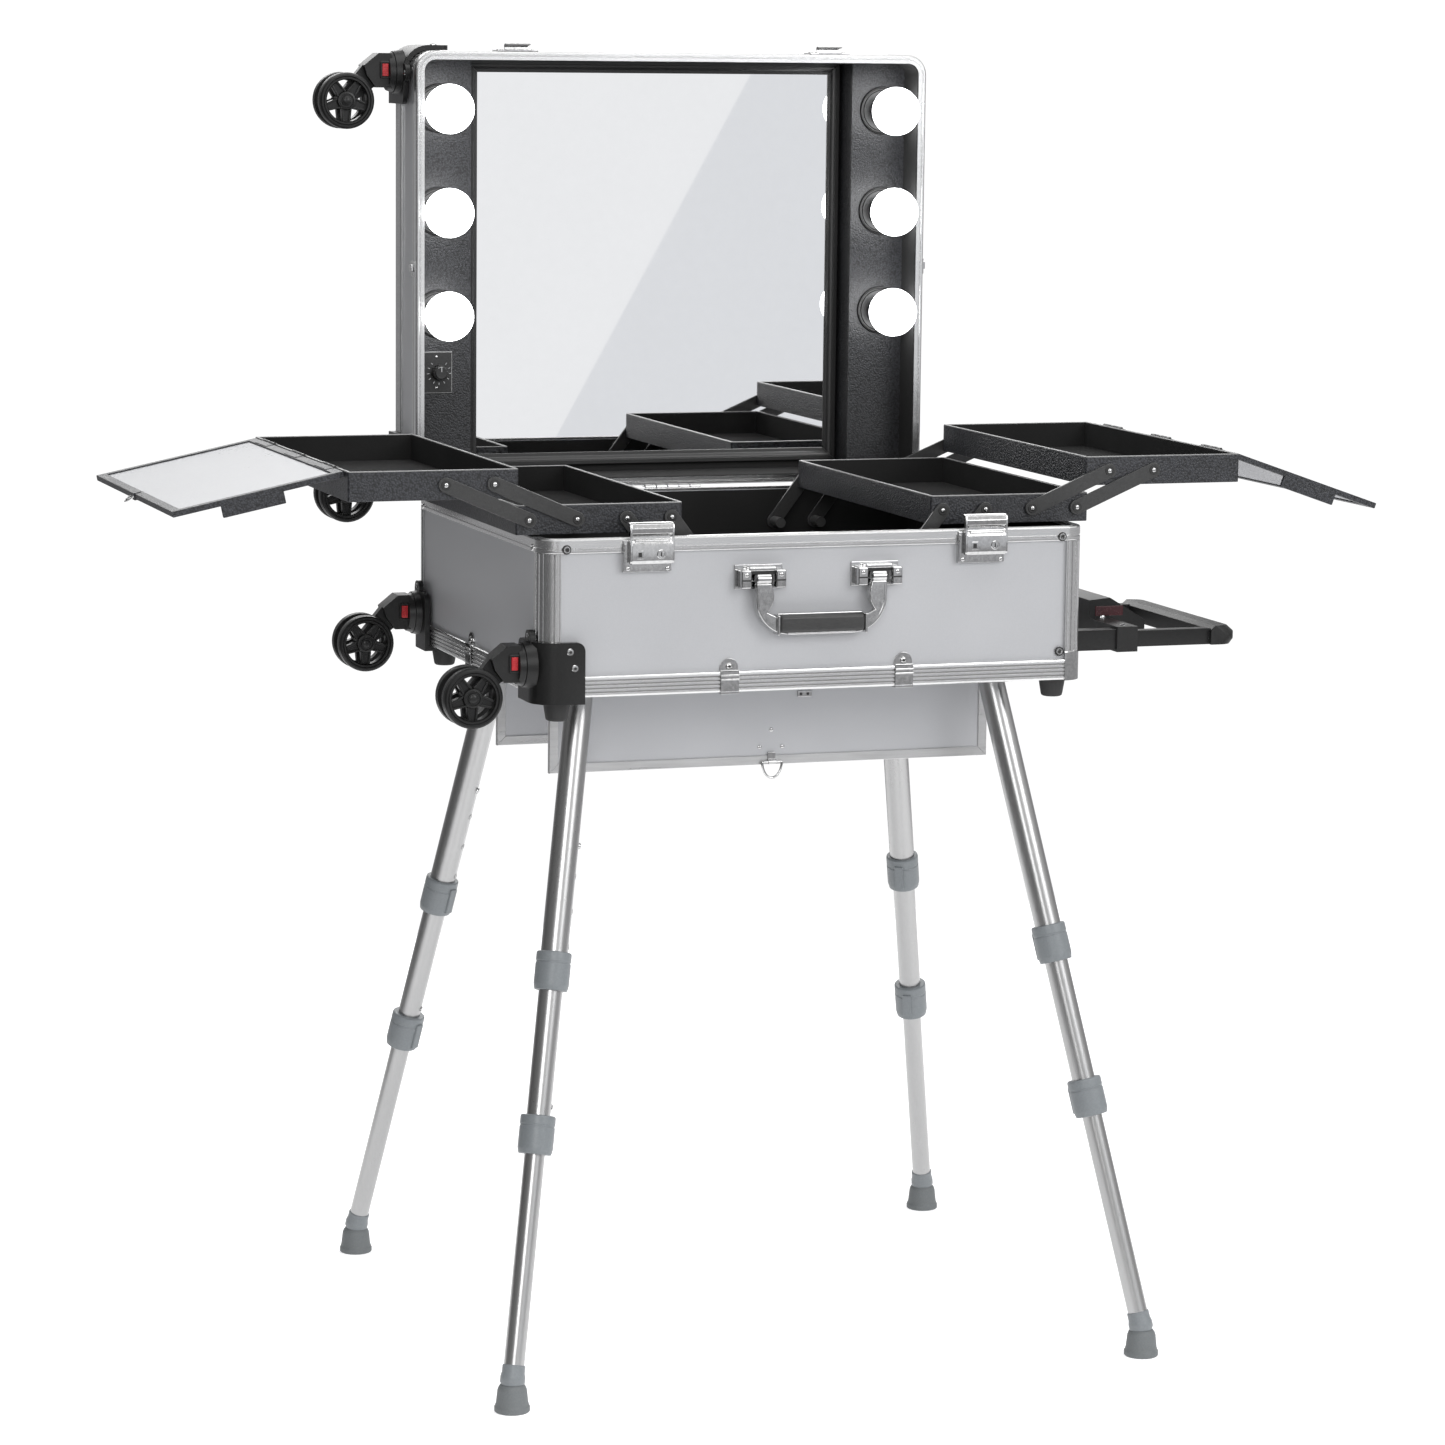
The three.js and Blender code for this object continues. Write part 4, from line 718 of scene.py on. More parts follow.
EDGING = [(0, 0.5), (0.5, 0), (8.5, 0), (9, 0.4), (9, 1.2), (1.2, 1.2), (1.2, 3.8), (9, 3.8), (9, 4.6),
          (8.5, 5), (0.5, 5), (0, 4.5)]
edging = finish_of("edging_aluminium", grey(0.56), grey(0.66), 420, (0.05, 1, 1), 0.26, 0.36, 1.0, 0.05)
DOOR_PLACE = facing((0, DOOR_FACE + 5, (DOOR_TOP + DOOR_LOW) / 2), (0, -1, 0))
for name, flip in (("front", AS_DRAWN), ("rear", FLIP_Y)):
    door = Piece()
    door.add(mitred_edging(EDGING, 446, DOOR_TOP - DOOR_LOW), 0, flip @ DOOR_PLACE)
    door.add(block(-221.6, 221.6, -44.3, 44.3, 1.3, 3.7, 0.2), 1, flip @ DOOR_PLACE)
    for x in (-170, 0, 170):
        door.add(block(x - 18, x + 18, 26, 38, -0.9, 0.1, 0.3), 2, flip @ DOOR_PLACE)
        door.add(turned([(0, -18), (0.9, -18), (0.9, 18), (0, 18)], 12), 2,
                 flip @ DOOR_PLACE @ Matrix.Translation((x, 45.2, 4.6)) @ LIE_IN_X)
    if name == "front":
        for x, z in ((0, 591), (-11.5, 574.5), (11.5, 574.5)):
            door.add(dome(2.2, 0.9), 2, facing((x, DOOR_FACE + 1.2, z), (0, -1, 0)))
        door.add(block(26, 41, 622, 628, 0, 1.4, 0.6), 2, facing((0, DOOR_FACE + 1.2, 0), (0, -1, 0)))
        for x in (29.5, 36.5):
            door.add(turned([(0, 0), (1.4, 0), (1.4, 0.4), (0, 0.4)], 12), 3,
                     facing((x, DOOR_FACE - 0.1, 625), (0, -1, 0)))
        strap = facing((0, DOOR_FACE, 560.5), (0, -1, 0))
        door.add(block(-3.9, 3.9, 1.9, 9, -0.2, 0.9, 0.3), 2, strap)
        door.add(turned([(1.75, -3.9), (2.35, -3.9), (2.35, 3.9), (1.75, 3.9)], 20), 2,
                 strap @ Matrix.Translation((0, 0, 2.6)) @ LIE_IN_X)
    door.set_on(f"bay_door_{name}", f"{name}_door", [edging, laminate, chrome, recess_shade],
                [f"bay_door_{name}"], "door_board")


def swept(path, section, closed=False):
    """A section of (across, up) points carried along a path of points; both ends are capped."""
    path = [Vector(p) for p in path]
    count = len(path)
    points, faces, rings = [], [], []
    normal = None
    for i, at in enumerate(path):
        before = path[(i - 1) % count] if closed or i else at
        after = path[(i + 1) % count] if closed or i < count - 1 else at
        along = (after - before).normalized()
        if normal is None:
            normal = along.orthogonal().normalized()
            if abs(along.y) < 0.95:
                normal = along.cross(Vector((0, 1, 0))).normalized()
        normal = (normal - along * normal.dot(along)).normalized()
        other = along.cross(normal)
        rings.append(list(range(len(points), len(points) + len(section))))
        points += [tuple(at + normal * u + other * v) for u, v in section]
    for a, b in zip(rings, rings[1:] + (rings[:1] if closed else [])):
        for i in range(len(section)):
            j = (i + 1) % len(section)
            faces.append((a[i], a[j], b[j], b[i]))
    if not closed:
        faces += [tuple(reversed(rings[0])), tuple(rings[-1])]
    return points, faces


def circle(radius, count=12):
    return [(radius * math.cos(2 * math.pi * i / count),
             radius * math.sin(2 * math.pi * i / count)) for i in range(count)]


RING_Y, RING_Z = -94.6, 560.5
turns = [math.pi * i / 32 for i in range(33)]
bow = [(10 * math.cos(a), RING_Y, RING_Z - 15.7 * math.sin(a)) for a in turns]
ring_path = [(x, RING_Y, RING_Z) for x in (-8, -4, 0, 4, 8)] + bow
ring = Piece().add(swept(ring_path, circle(1.25), True))
ring.set_on("bay_pull_ring", "pull_ring_wire", [chrome], ["bay_pull_ring"], "chrome_fitting")

# ---------------------------------------------------------------- draw latches
# Pressed and plated steel. A riveted base plate carries a folded lever whose lip stands above the rim
# and draws the lid down, with a small lock barrel below it.
LATCH_X = 165.0


def latch_profile(thick):
    """The folded sheet of the lever as (out from the case, height) points."""
    spine = [(1.9, -24), (5.4, -23.6), (6.9, -21), (7.1, -8), (6.3, -4.5), (3.6, -1.5), (3.4, 1.6),
             (6.6, 4.4), (6.9, 8.5), (5.2, 12), (1.5, 13.3), (-3.5, 13.4)]
    outer, inner = [], []
    for i, (u, v) in enumerate(spine):
        before, after = spine[max(i - 1, 0)], spine[min(i + 1, len(spine) - 1)]
        along = Vector((after[0] - before[0], after[1] - before[1])).normalized()
        across = Vector((along.y, -along.x)) * thick / 2
        outer.append((u + across.x, v + across.y))
        inner.append((u - across.x, v - across.y))
    return outer + inner[::-1]


for name, sign in (("left", -1), ("right", 1)):
    at = facing((sign * LATCH_X, FRONT_Y, RIM), (0, -1, 0))
    side_on = at @ Matrix(((0, 0, 1, 0), (0, 1, 0, 0), (1, 0, 0, 0), (0, 0, 0, 1)))
    plate = Piece()
    plate.add(block(-26.5, 20, -32, -2.5, 0.15, 1.7, 0.5), 0, at)
    plate.add(block(-26.5, 20, -32, -15, -3.2, 0.6, 0.4), 0, at)
    plate.add(block(-26.2, -24.6, -30, -5, 1.2, 5.6, 0.5), 0, at)
    plate.add(dome(2.2, 1.1), 0, at @ Matrix.Translation((-21.8, -28.4, 1.6)))
    plate.add(dome(2.2, 1.1), 0, at @ Matrix.Translation((16.5, -28.9, 1.6)))
    plate.set_on("base", f"latch_plate_{name}", [chrome], (), "chrome_fitting")
    lever = Piece()
    lever.add(softened(prism(latch_profile(1.4), -19.6, 19.6), 0.4), 0, side_on)
    for x in (-20.2, 20.2):
        cheek = [(1.8, -22.5), (6.4, -23.4), (7.4, -20.5), (7.6, -8), (6.6, -3), (6.8, 3), (7.3, 8),
                 (5.8, 12.4), (1.8, 13.8), (-3.2, 13.8), (-3.2, 12.4), (1.4, 11.6), (2.6, 8), (2.2, 2),
                 (1.8, -6)]
        lever.add(softened(prism(cheek, x - 1.1, x + 1.1), 0.4), 0, side_on)
    lever.add(block(-19, 19, -23.2, -7.5, 2.0, 6.9, 1.2, 3), 0, at)
    lever.add(block(-18.6, 18.6, -7.2, -5.0, 2.0, 6.2, 0.3), 1, at)
    lever.add(block(-17, 17, -4.6, -1.4, 2.2, 7.6, 1.3, 3), 0, at)
    lever.add(block(-18.6, 18.6, -1.2, 3.6, 2.2, 3.6, 0.3), 1, at)
    lever.add(turned([(0, 0), (4.4, 0), (4.4, 1.0), (3.8, 1.6), (2.7, 1.6), (2.5, 0.9), (0, 0.9)], 28), 0,
              at @ Matrix.Translation((8.5, -15.2, 6.7)))
    lever.add(block(7.9, 9.1, -17.2, -13.2, 7.4, 7.8, 0.1), 1, at)
    lever.add(turned([(0, 0), (1.9, 0), (1.9, 0.25), (0, 0.25)], 16), 1, at
              @ Matrix.Translation((-1.5, -15.2, 6.85)))
    lever.add(block(-15.5, -8.5, -19.4, -11.4, 6.5, 7.9, 0.6), 0, at)
    lever.add(block(-13.8, -10.2, -17.6, -13.2, 7.6, 8.05, 0.2), 1, at)
    lever.set_on(f"latch_{name}", f"latch_lever_{name}", [chrome, recess_shade], [f"latch_{name}"],
                 "chrome_fitting")

# ---------------------------------------------------------------- carrying handle
# A cast and plated bail with broad curved arms and a black soft grip, hinged between knuckles of two
# mounts that are riveted through the front board.
HANDLE_Y, HANDLE_Z = -225.0, 754.0
HANDLE_LOW = HANDLE_Z - 43
MOUNT_X = 57.5
soft_grip = finish_of("soft_black_grip", grey(0.020), grey(0.040), 900, (0.2, 1, 1), 0.38, 0.52, 0.0, 0.1,
                      0.0002)

FLAT_ON = Matrix(((1, 0, 0, 0), (0, 0, -1, HANDLE_Y), (0, 1, 0, 0), (0, 0, 0, 1)))


def arc(cx, cz, radius, first, last, count):
    """Points along a circle in the handle's plane, between two angles in degrees."""
    turns = [math.radians(first + (last - first) * i / count) for i in range(count + 1)]
    return [(cx + radius * math.cos(a), cz + radius * math.sin(a)) for a in turns]


bail = Piece()
grip_at = Matrix.Translation((0, HANDLE_Y, HANDLE_LOW))
for sign in (-1, 1):
    outside = [(-64.5, HANDLE_Z - 4), (-64.5, HANDLE_LOW + 24)]
    outside += arc(-31, HANDLE_LOW + 24, 33.5, 180, 270, 14)[1:]
    inside_edge = [(-31, HANDLE_LOW - 6.6), (-40.5, HANDLE_LOW - 6.0), (-41.5, HANDLE_LOW + 6.5)]
    inside_edge += arc(-72, HANDLE_LOW + 28, 25, -40, 0, 7) + [(-49.5, HANDLE_Z - 4)]
    outline = [(sign * x, z) for x, z in outside + inside_edge]
    bail.add(softened(prism(outline, -3.6, 3.6), 1.2, 3), 0, FLAT_ON)
    ridge = [(-62.6, HANDLE_Z - 8), (-62.6, HANDLE_LOW + 24)]
    ridge += arc(-31, HANDLE_LOW + 24, 31.6, 180, 256, 12)[1:] + arc(-31, HANDLE_LOW + 24, 30.6, 256, 180, 12)
    ridge = [(sign * x, z) for x, z in ridge + [(-61.6, HANDLE_Z - 8)]]
    bail.add(prism(ridge, -4.1, 4.1), 0, FLAT_ON)
    bail.add(turned([(0, -7.2), (4.4, -7.2), (5.2, -6.4), (5.2, 6.4), (4.4, 7.2), (0, 7.2)], 24), 0,
             Matrix.Translation((sign * 57, HANDLE_Y, HANDLE_Z)) @ LIE_IN_X)
    bail.add(block(sign * 43.2 - 1.4, sign * 43.2 + 1.4, -7.2, 7.2, -9.3, 9.3, 1.0, 3), 0, grip_at)
bail.add(block(-34, 34, -4.6, 4.6, -9.5, -6.6, 1.2, 3), 0, grip_at)
bail.add(block(-42.2, 42.2, -8.0, 8.0, -7.6, 9.4, 4.0, 4), 1, grip_at)
bail.add(block(-41.6, 41.6, -1.2, 1.2, 8.9, 9.9, 0.4, 2), 0,
         Matrix.Translation((0, HANDLE_Y + 3.0, HANDLE_LOW)))
bail.set_on("front_handle", "carrying_bail", [chrome, soft_grip], ["front_handle"], "chrome_fitting")

mounts = Piece()
for sign in (-1, 1):
    at = facing((sign * MOUNT_X, FRONT_Y + 3.3, 0), (0, -1, 0))
    mounts.add(block(-25, 22, 744, 767, 0, 2.2, 0.7), 0, at)
    mounts.add(block(-13.5, 13.5, 761.2, 765.6, 1.8, 11.5, 1.4, 3), 0, at)
    mounts.add(block(-13.8, 13.8, 758.6, 761.0, 1.8, 10.4, 0.3), 1, at)
    for x0, x1 in ((-22, -12), (12, 22)):
        mounts.add(block(x0, x1, 745.6, 763, 1.8, 14.6, 1.6, 3), 0, at)
        mounts.add(block(x0 + 0.8, x1 - 0.8, 752.6, 754.0, 14.2, 14.9, 0.2), 1, at)
        mounts.add(dome(2.3, 1.0), 0, facing((sign * MOUNT_X + (x0 + x1) / 2, -229.2, 758.4), (0, -1, 0)))
mounts.set_on("base", "handle_mounts", [chrome, recess_shade], (), "chrome_fitting")

# ---------------------------------------------------------------- trolley
# Two stages of black coated tube slide in the side of the case. A moulded brace with a domed hump
# ties the outer tubes together and a moulded grip ends the inner ones.
moulded = finish_of("moulded_black", grey(0.006), grey(0.012), 700, (1, 1, 1), 0.32, 0.44, 0.0, 0.06,
                    0.0002, worn=grey(0.05), wear_amount=0.35, shine=0.3)
GRIP_FROM_X, GRIP_END_Y, GRIP_ROUND = 465, 100, 15.0
TUBE_Y = 98


def round_grip_corner(a, b):
    """The edges that stand at the two outer corners of the grip."""
    at_end = min(a.x, b.x) > GRIP_FROM_X and abs(a.y) > GRIP_END_Y
    return at_end and abs(a.y - b.y) < 0.01 and abs(a.x - b.x) < 8


for name in ("trolley_sleeves", "trolley_handle"):
    shape = solid_of(name, 1.6, 3, 25, round_grip_corner, GRIP_ROUND)
    Piece().add(shape).set_on(name, f"{name}_moulding", [moulded], [name], "trolley_black")

tinted = finish_of("dark_red_tint", (0.030, 0.006, 0.008, 1), (0.060, 0.010, 0.014, 1), 400, (1, 1, 1), 0.2,
                   0.32)
release = Piece()
release.add(block(358, 388, 684, 694, -0.3, 0.8, 0.5, 3), 0, facing((0, -40, 0), (0, -1, 0)))
release.add(dome(3.2, 1.4), 1, facing((366, -40.2, 682), (0, -1, 0)))
for y in (-TUBE_Y, TUBE_Y):
    release.add(dome(3.0, 1.3), 1, facing((363, y, 682), (0, 0, 1)))
release.set_on("trolley_sleeves", "trolley_release_cover", [tinted, chrome], (), "trolley_black")
guides = Piece()
for y in (-TUBE_Y, TUBE_Y):
    at = facing((SIDE_X - 3.3, y, 669), (1, 0, 0))
    outer = rounded_outline(30, 33, 4, 4)
    inner = rounded_outline(18.0, 21.2, 1.2, 4)
    count = len(outer)
    points = [(x, z, h) for ends in (outer, inner) for h in (0, 4.2) for x, z in ends]
    faces = []
    for i in range(count):
        j = (i + 1) % count
        faces += [(i, j, count + j, count + i), (2 * count + j, 2 * count + i, 3 * count + i, 3 * count
                                                 + j), (count + i, count + j, 3 * count + j, 3 * count + i),
                  (j, i, 2 * count + i, 2 * count + j)]
    guides.add((points, faces), 0, at)
guides.set_on("base", "trolley_guides", [moulded], (), "trolley_black")

# ---------------------------------------------------------------- lid lining and mirror surround
# Black cloth lines the lid's walls, and the plate glass mirror is held in its bay by a mitred moulding
# with a rolled face that laps its edge.
soft_black = finish_of("lid_black_cloth", grey(0.012), grey(0.026), 2200, (1, 1, 1), 0.7, 0.85, 0.0, 0.3,
                       0.0003, shine=0.2)
moulding = finish_of("black_moulding", grey(0.012), grey(0.022), 600, (1, 1, 1), 0.28, 0.40, 0.0, 0.08,
                     0.0001)
lid_inside = Piece()
lid_inside.add(hoop([(8.5, 44.4), (8.5, 79.6), (8.7, 80), (9.3, 80), (9.5, 79.6), (9.5, 44.4)],
                    CASE_WIDTH, CASE_DEPTH, CORNER, 9), 0, ON_LID)
for end in (-1, 1):
    lid_inside.add(block(-202, 202, end * 209.5, end * 208.5, 7, 44.4, 0.2, 1), 0, ON_LID)
BACKING = ((-202.5, 202.5, -208.6, -198.4), (-202.5, 202.5, 190.4, 208.6), (-202.5, -190, -198.4, 190.4),
           (190, 202.5, -198.4, 190.4))
for x0, x1, y0, y1 in BACKING:
    lid_inside.add(block(x0, x1, y0, y1, 6.65, 7.6, 0.1, 1), 0, ON_LID)
lid_inside.set_on("lid", "lid_lining", [soft_black], (), "lid_leatherette")

SURROUND = [(0, 7.7), (0, 14.2), (0.9, 15.2), (4.2, 15.2), (5.0, 14.4), (6.4, 14.4), (8.6, 13.2),
            (9.6, 12.2), (12.4, 12.0), (12.7, 11.6), (12.7, 10.8), (10.9, 10.8), (10.9, 7.7)]
surround = Piece()
surround.add(mitred_edging(SURROUND, 401, 411), 0, ON_LID @ Matrix.Translation((0, -4, 0)))
surround.set_on("lid", "mirror_surround", [moulding], (), "lid_leatherette")

silvered = finish_of("silvered_glass", grey(0.88), grey(0.90), 90, (1, 1, 1), 0.008, 0.02, 1.0, 0.0,
                     0.00001)
Piece().add(solid_of("mirror", 0.9, 2)).set_on("lid", "mirror_plate", [silvered], ["mirror"],
                                               "mirror_glass")

# ---------------------------------------------------------------- light panels, bulbs and dimmer
# Boards covered in pebbled black leatherette carry three opal globes a side. Each globe screws into a
# stepped cup, and a bevelled plate under the left row holds the dimmer's fluted knob.
leatherette = finish_of("black_leatherette", (0.014, 0.0145, 0.016, 1), (0.034, 0.035, 0.040, 1), 500,
                        (1, 1, 1), 0.36, 0.50, 0.0, 0.55, 0.0005, skin=620)
opal = finish_of("opal_globe", (0.92, 0.93, 0.95, 1), (1, 1, 1, 1), 40, (1, 1, 1), 0.25, 0.35, 0.0, 0.02,
                 glow=9.0)
PANEL = 44.0
BULB_X, BULB_YS = 236.35, (-161.0, -58.5, 44.0)
KNOB_Y = 102.5
for side in ("left", "right"):
    name = f"light_panel_{side}"
    Piece().add(solid_of(name, 0.7, 2)).set_on("lid", f"{name}_board", [leatherette], [name],
                                               "lid_leatherette")
cup = turned([(14.6, 0.1), (14.6, 1.4), (15.2, 1.9), (20.4, 1.9), (21.2, 0.9), (22.0, 0.9), (22.4, 2.2),
              (23.0, 2.7), (23.9, 2.5), (24.4, 1.6), (24.4, 0.1)], 48)
cups = Piece()
for sign in (-1, 1):
    for y in BULB_YS:
        cups.add(cup, 0, ON_LID @ Matrix.Translation((sign * BULB_X, y, PANEL)))
cups.set_on("lid", "bulb_cups", [moulding], (), "lid_leatherette")
GLOBE, NECK, GLOBE_MIDDLE = 24.5, 14.0, 40
rise = math.asin(NECK / GLOBE)
swing = [rise + (math.pi - rise) * i / 22 for i in range(1, 22)]
globe = [(0, 19.9),
         (NECK, 19.9)] + [(GLOBE * math.sin(a), GLOBE_MIDDLE - GLOBE * math.cos(a)) for a in swing]
globe += [(0, GLOBE_MIDDLE + GLOBE)]
socket = [(0, -19.6), (9.2, -19.6), (12.2, -15), (12.4, 4), (12.6, 8), (13.0, 14), (14.4, 19.0),
          (14.4, 21.4), (13.6, 21.4), (13.4, 19.9), (0, 19.9)]
for side, sign in (("left", -1), ("right", 1)):
    for level, y in zip(("top", "middle", "bottom"), BULB_YS):
        at = ON_LID @ Matrix.Translation((sign * BULB_X, y, PANEL))
        bulb = Piece().add(turned(globe, 48), 0, at)
        bulb.add(turned(socket, 32), 1, at)
        bulb.set_on("lid", f"globe_{side}_{level}", [opal, moulding], [f"bulb_{side}_{level}"],
                    "bulb_white")

# Painted highlight: a mid grey for the top edges of the tray walls and the rim of the dimmer plate.
painted_edge_highlight = finish_of("painted_edge_highlight", grey(0.16), grey(0.30), 800, (1, 1, 1), 0.35, 0.5, 0.4, 0.05)
dimmer = Piece()
PLATE_X = 239
dimmer_at = ON_LID @ Matrix.Translation((-PLATE_X, KNOB_Y, PANEL))
# Painted highlight: the lower plate's grey rim round the black plate stands for light on its bevel.
dimmer.add(block(-16.5, 16.5, -21, 21, 0.05, 1.3, 0.5), 2, dimmer_at)
dimmer.add(block(-15.6, 15.6, -20.1, 20.1, 1.0, 1.6, 0.3), 0, dimmer_at)
for i in range(11):
    angle = math.radians(-50 + 28 * i)
    tick = dimmer_at @ Matrix.Translation((PLATE_X - BULB_X, 0, 0)) @ Matrix.Rotation(angle, 4, "Z")
    dimmer.add(block(10.2, 12.6, -0.35, 0.35, 1.5, 1.75, 0.08, 1), 1, tick)
for y in (-15.5, 15.5):
    dimmer.add(dome(1.5, 0.6, 0.2), 1, dimmer_at @ Matrix.Translation((0, y, 1.7)))
dimmer.set_on("lid", "dimmer_plate", [moulding, chrome, painted_edge_highlight], (), "lid_leatherette")
KNOB_STEPS = 72
flutes = []
for i in range(KNOB_STEPS):
    radius, angle = 7.7 if i % 4 < 2 else 7.1, 2 * math.pi * i / KNOB_STEPS
    flutes.append((radius * math.cos(angle), radius * math.sin(angle)))
knob = Piece()
knob_at = ON_LID @ Matrix.Translation((-BULB_X, KNOB_Y, PANEL))
knob.add(softened(prism(flutes, 4.2, 10.6), 0.25, 1, 50), 0, knob_at)
knob.add(turned([(0, 2.0), (8.0, 2.0), (8.0, 3.4), (7.4, 4.3), (0, 4.3)], 36), 0, knob_at)
knob.add(turned([(0, 10.4), (6.6, 10.4), (6.4, 11.4), (5.6, 11.9), (0, 11.7)], 36), 0, knob_at)
knob.add(block(-0.5, 0.5, -6.2, -1.0, 11.6, 12.1, 0.1), 1, knob_at)
knob.add(turned([(0, -6.6), (2.9, -6.6), (2.9, 2.2), (0, 2.2)], 16), 1, knob_at)
knob.set_on("dimmer_knob", "dimmer_knob_cap", [moulding, chrome], ["dimmer_knob"], "black_plastic")

# ---------------------------------------------------------------- keepers and back hinges
# The lid's keepers stand on its front rail over the latches, smaller hasps ride on its sides, and three
# plated butt hinges join the halves along the back edge.
keepers = Piece()
for sign in (-1, 1):
    at = Matrix.Translation((sign * LATCH_X, 231, LID_TOP))
    keepers.add(block(-21, 21, -10, 12, -0.3, 1.2, 0.4), 0, at)
    hook = [(-10, 0.4), (-10, 1.6), (-5, 1.8), (-4.2, 5.6), (-6.8, 6.9), (-9.4, 6.2), (-9.9, 7.0),
            (-6.6, 8.2), (-3.2, 6.4), (-3.4, 1.0), (-3.4, 0.4)]
    turn_on = Matrix(((0, 0, 1, 0), (1, 0, 0, 0), (0, 1, 0, 0), (0, 0, 0, 1)))
    keepers.add(softened(prism(hook, -13, 13), 0.25, 1), 0, at @ turn_on)
    for x in (-16, 16):
        keepers.add(dome(2.4, 1.4), 0, at @ Matrix.Translation((x, 5, 1.2)))
        keepers.add(dome(2.0, 1.2), 0, at @ Matrix.Translation((x, -5, 1.2)))
    at = facing((sign * SIDE_X, 229, 1018), (sign, 0, 0))
    keepers.add(block(-7, 7, -8, 8, -0.3, 1.1, 0.4), 0, at)
    keepers.add(block(-4, 4, -3, 5, 1.0, 4.0, 0.8), 0, at)
    for y in (-5.8, 5.8):
        keepers.add(dome(1.5, 0.8), 0, at @ Matrix.Translation((0, y, 1.1)))
keepers.set_on("lid", "lid_keepers", [chrome], (), "chrome_fitting")

HINGE_Y, HINGE_Z, HINGE_XS = 219.0, 796.0, (-180, 0, 180)
base_leaf, lid_leaf = Piece(), Piece()
for x in HINGE_XS:
    base_leaf.add(block(x - 30, x + 30, 217.7, 218.9, 772, 794.4, 0.35, 1), 0)
    lid_leaf.add(block(x - 30, x + 30, 220.4, 246, 795.9, 797.2, 0.35, 1), 0)
    for i in range(5):
        roll = turned([(0, -5.6), (1.5, -5.6), (1.9, -5.2), (1.9, 5.2), (1.5, 5.6), (0, 5.6)], 18)
        place = Matrix.Translation((x - 24 + 12 * i, HINGE_Y, HINGE_Z)) @ LIE_IN_X
        (lid_leaf if i % 2 else base_leaf).add(roll, 0, place)
    for dx in (-20, 0, 20):
        base_leaf.add(dome(2.2, 0.9), 0, facing((x + dx, 218.8, 780), (0, 1, 0)))
        lid_leaf.add(dome(2.2, 0.9), 0, facing((x + dx, 236, 796.0), (0, 0, -1)))
base_leaf.set_on("base", "hinge_leaves_base", [chrome], (), "chrome_fitting")
lid_leaf.set_on("lid", "hinge_leaves_lid", [chrome], (), "chrome_fitting")

# ---------------------------------------------------------------- trays
# Four folded metal trays skinned in pebbled leatherette and lined with black cloth. A thin grey strip
# of painted highlight runs along the top of the walls.
tray_skin = finish_of("tray_leatherette", (0.016, 0.017, 0.020, 1), (0.040, 0.042, 0.050, 1), 500,
                      (1, 1, 1), 0.34, 0.48, 0.0, 0.6, 0.0005, skin=560)
for level in ("lower", "upper"):
    for side in ("left", "right"):
        name = f"tray_{level}_{side}"
        low, high = (v / MM - Vector((MIDDLE_X, 0, 0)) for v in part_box(name))
        size, middle = high - low, (low + high) / 2
        at = Matrix.Translation((middle.x, middle.y, low.z))
        tall = size.z
        tray = Piece()
        tray.add(hoop([(0, 0.7), (0.2, 0.2), (0.7, 0), (2.9, 0), (2.9, tall - 0.7), (0.2, tall - 0.7),
                       (0, tall - 1.1)], size.x, size.y, 2.2, 4), 0, at)
        tray.add(prism(rounded_outline(size.x - 5.4, size.y - 5.4, 1.0, 3), 0.05, 1.5), 0, at)
        # The top edge strip carries the painted highlight.
        tray.add(hoop([(0.15, tall - 0.9), (0.15, tall - 0.3), (0.4, tall), (2.6, tall), (2.9, tall - 0.3),
                       (2.9, tall - 0.9)], size.x, size.y, 2.2, 4), 1, at)
        tray.add(hoop([(2.8, 1.9), (2.8, tall - 1.0), (3.6, tall - 1.0), (3.8, tall - 1.4), (3.8, 1.9)],
                      size.x, size.y, 2.2, 4), 2, at)
        tray.add(prism(rounded_outline(size.x - 6.6, size.y - 6.6, 1.0, 3), 1.4, 2.3), 2, at)
        tray.set_on(name, f"{name}_pan", [tray_skin, painted_edge_highlight, lining], [name], "tray_leatherette")

# ---------------------------------------------------------------- links of the trays
# Flat steel bars, painted black, on shouldered rivets. Each link has a bar at the front of its trays and
# its twin at the back, and the lower ones pivot on spacers from the wall of the case.
link_paint = finish_of("black_link_paint", grey(0.016), grey(0.034), 500, (1, 1, 1), 0.26, 0.38, 0.2, 0.08,
                       worn=grey(0.16), wear_amount=0.6)
LINK_BACK, LINK_THICK, LINK_WIDE = 186.4, 2.5, 14.0
LINK_ENDS = {"lower": {"outer": ((141.891, 761.832), (178.0, 809.75)),
                       "inner": ((98.491, 761.832), (134.6, 809.75))},
             "upper": {"outer": ((272.0, 809.75), (350.986, 843.767)),
                       "inner": ((226.0, 809.75), (304.986, 843.767))},}
upright = Matrix(((1, 0, 0, 0), (0, 0, -1, 0), (0, 1, 0, 0), (0, 0, 0, 1)))
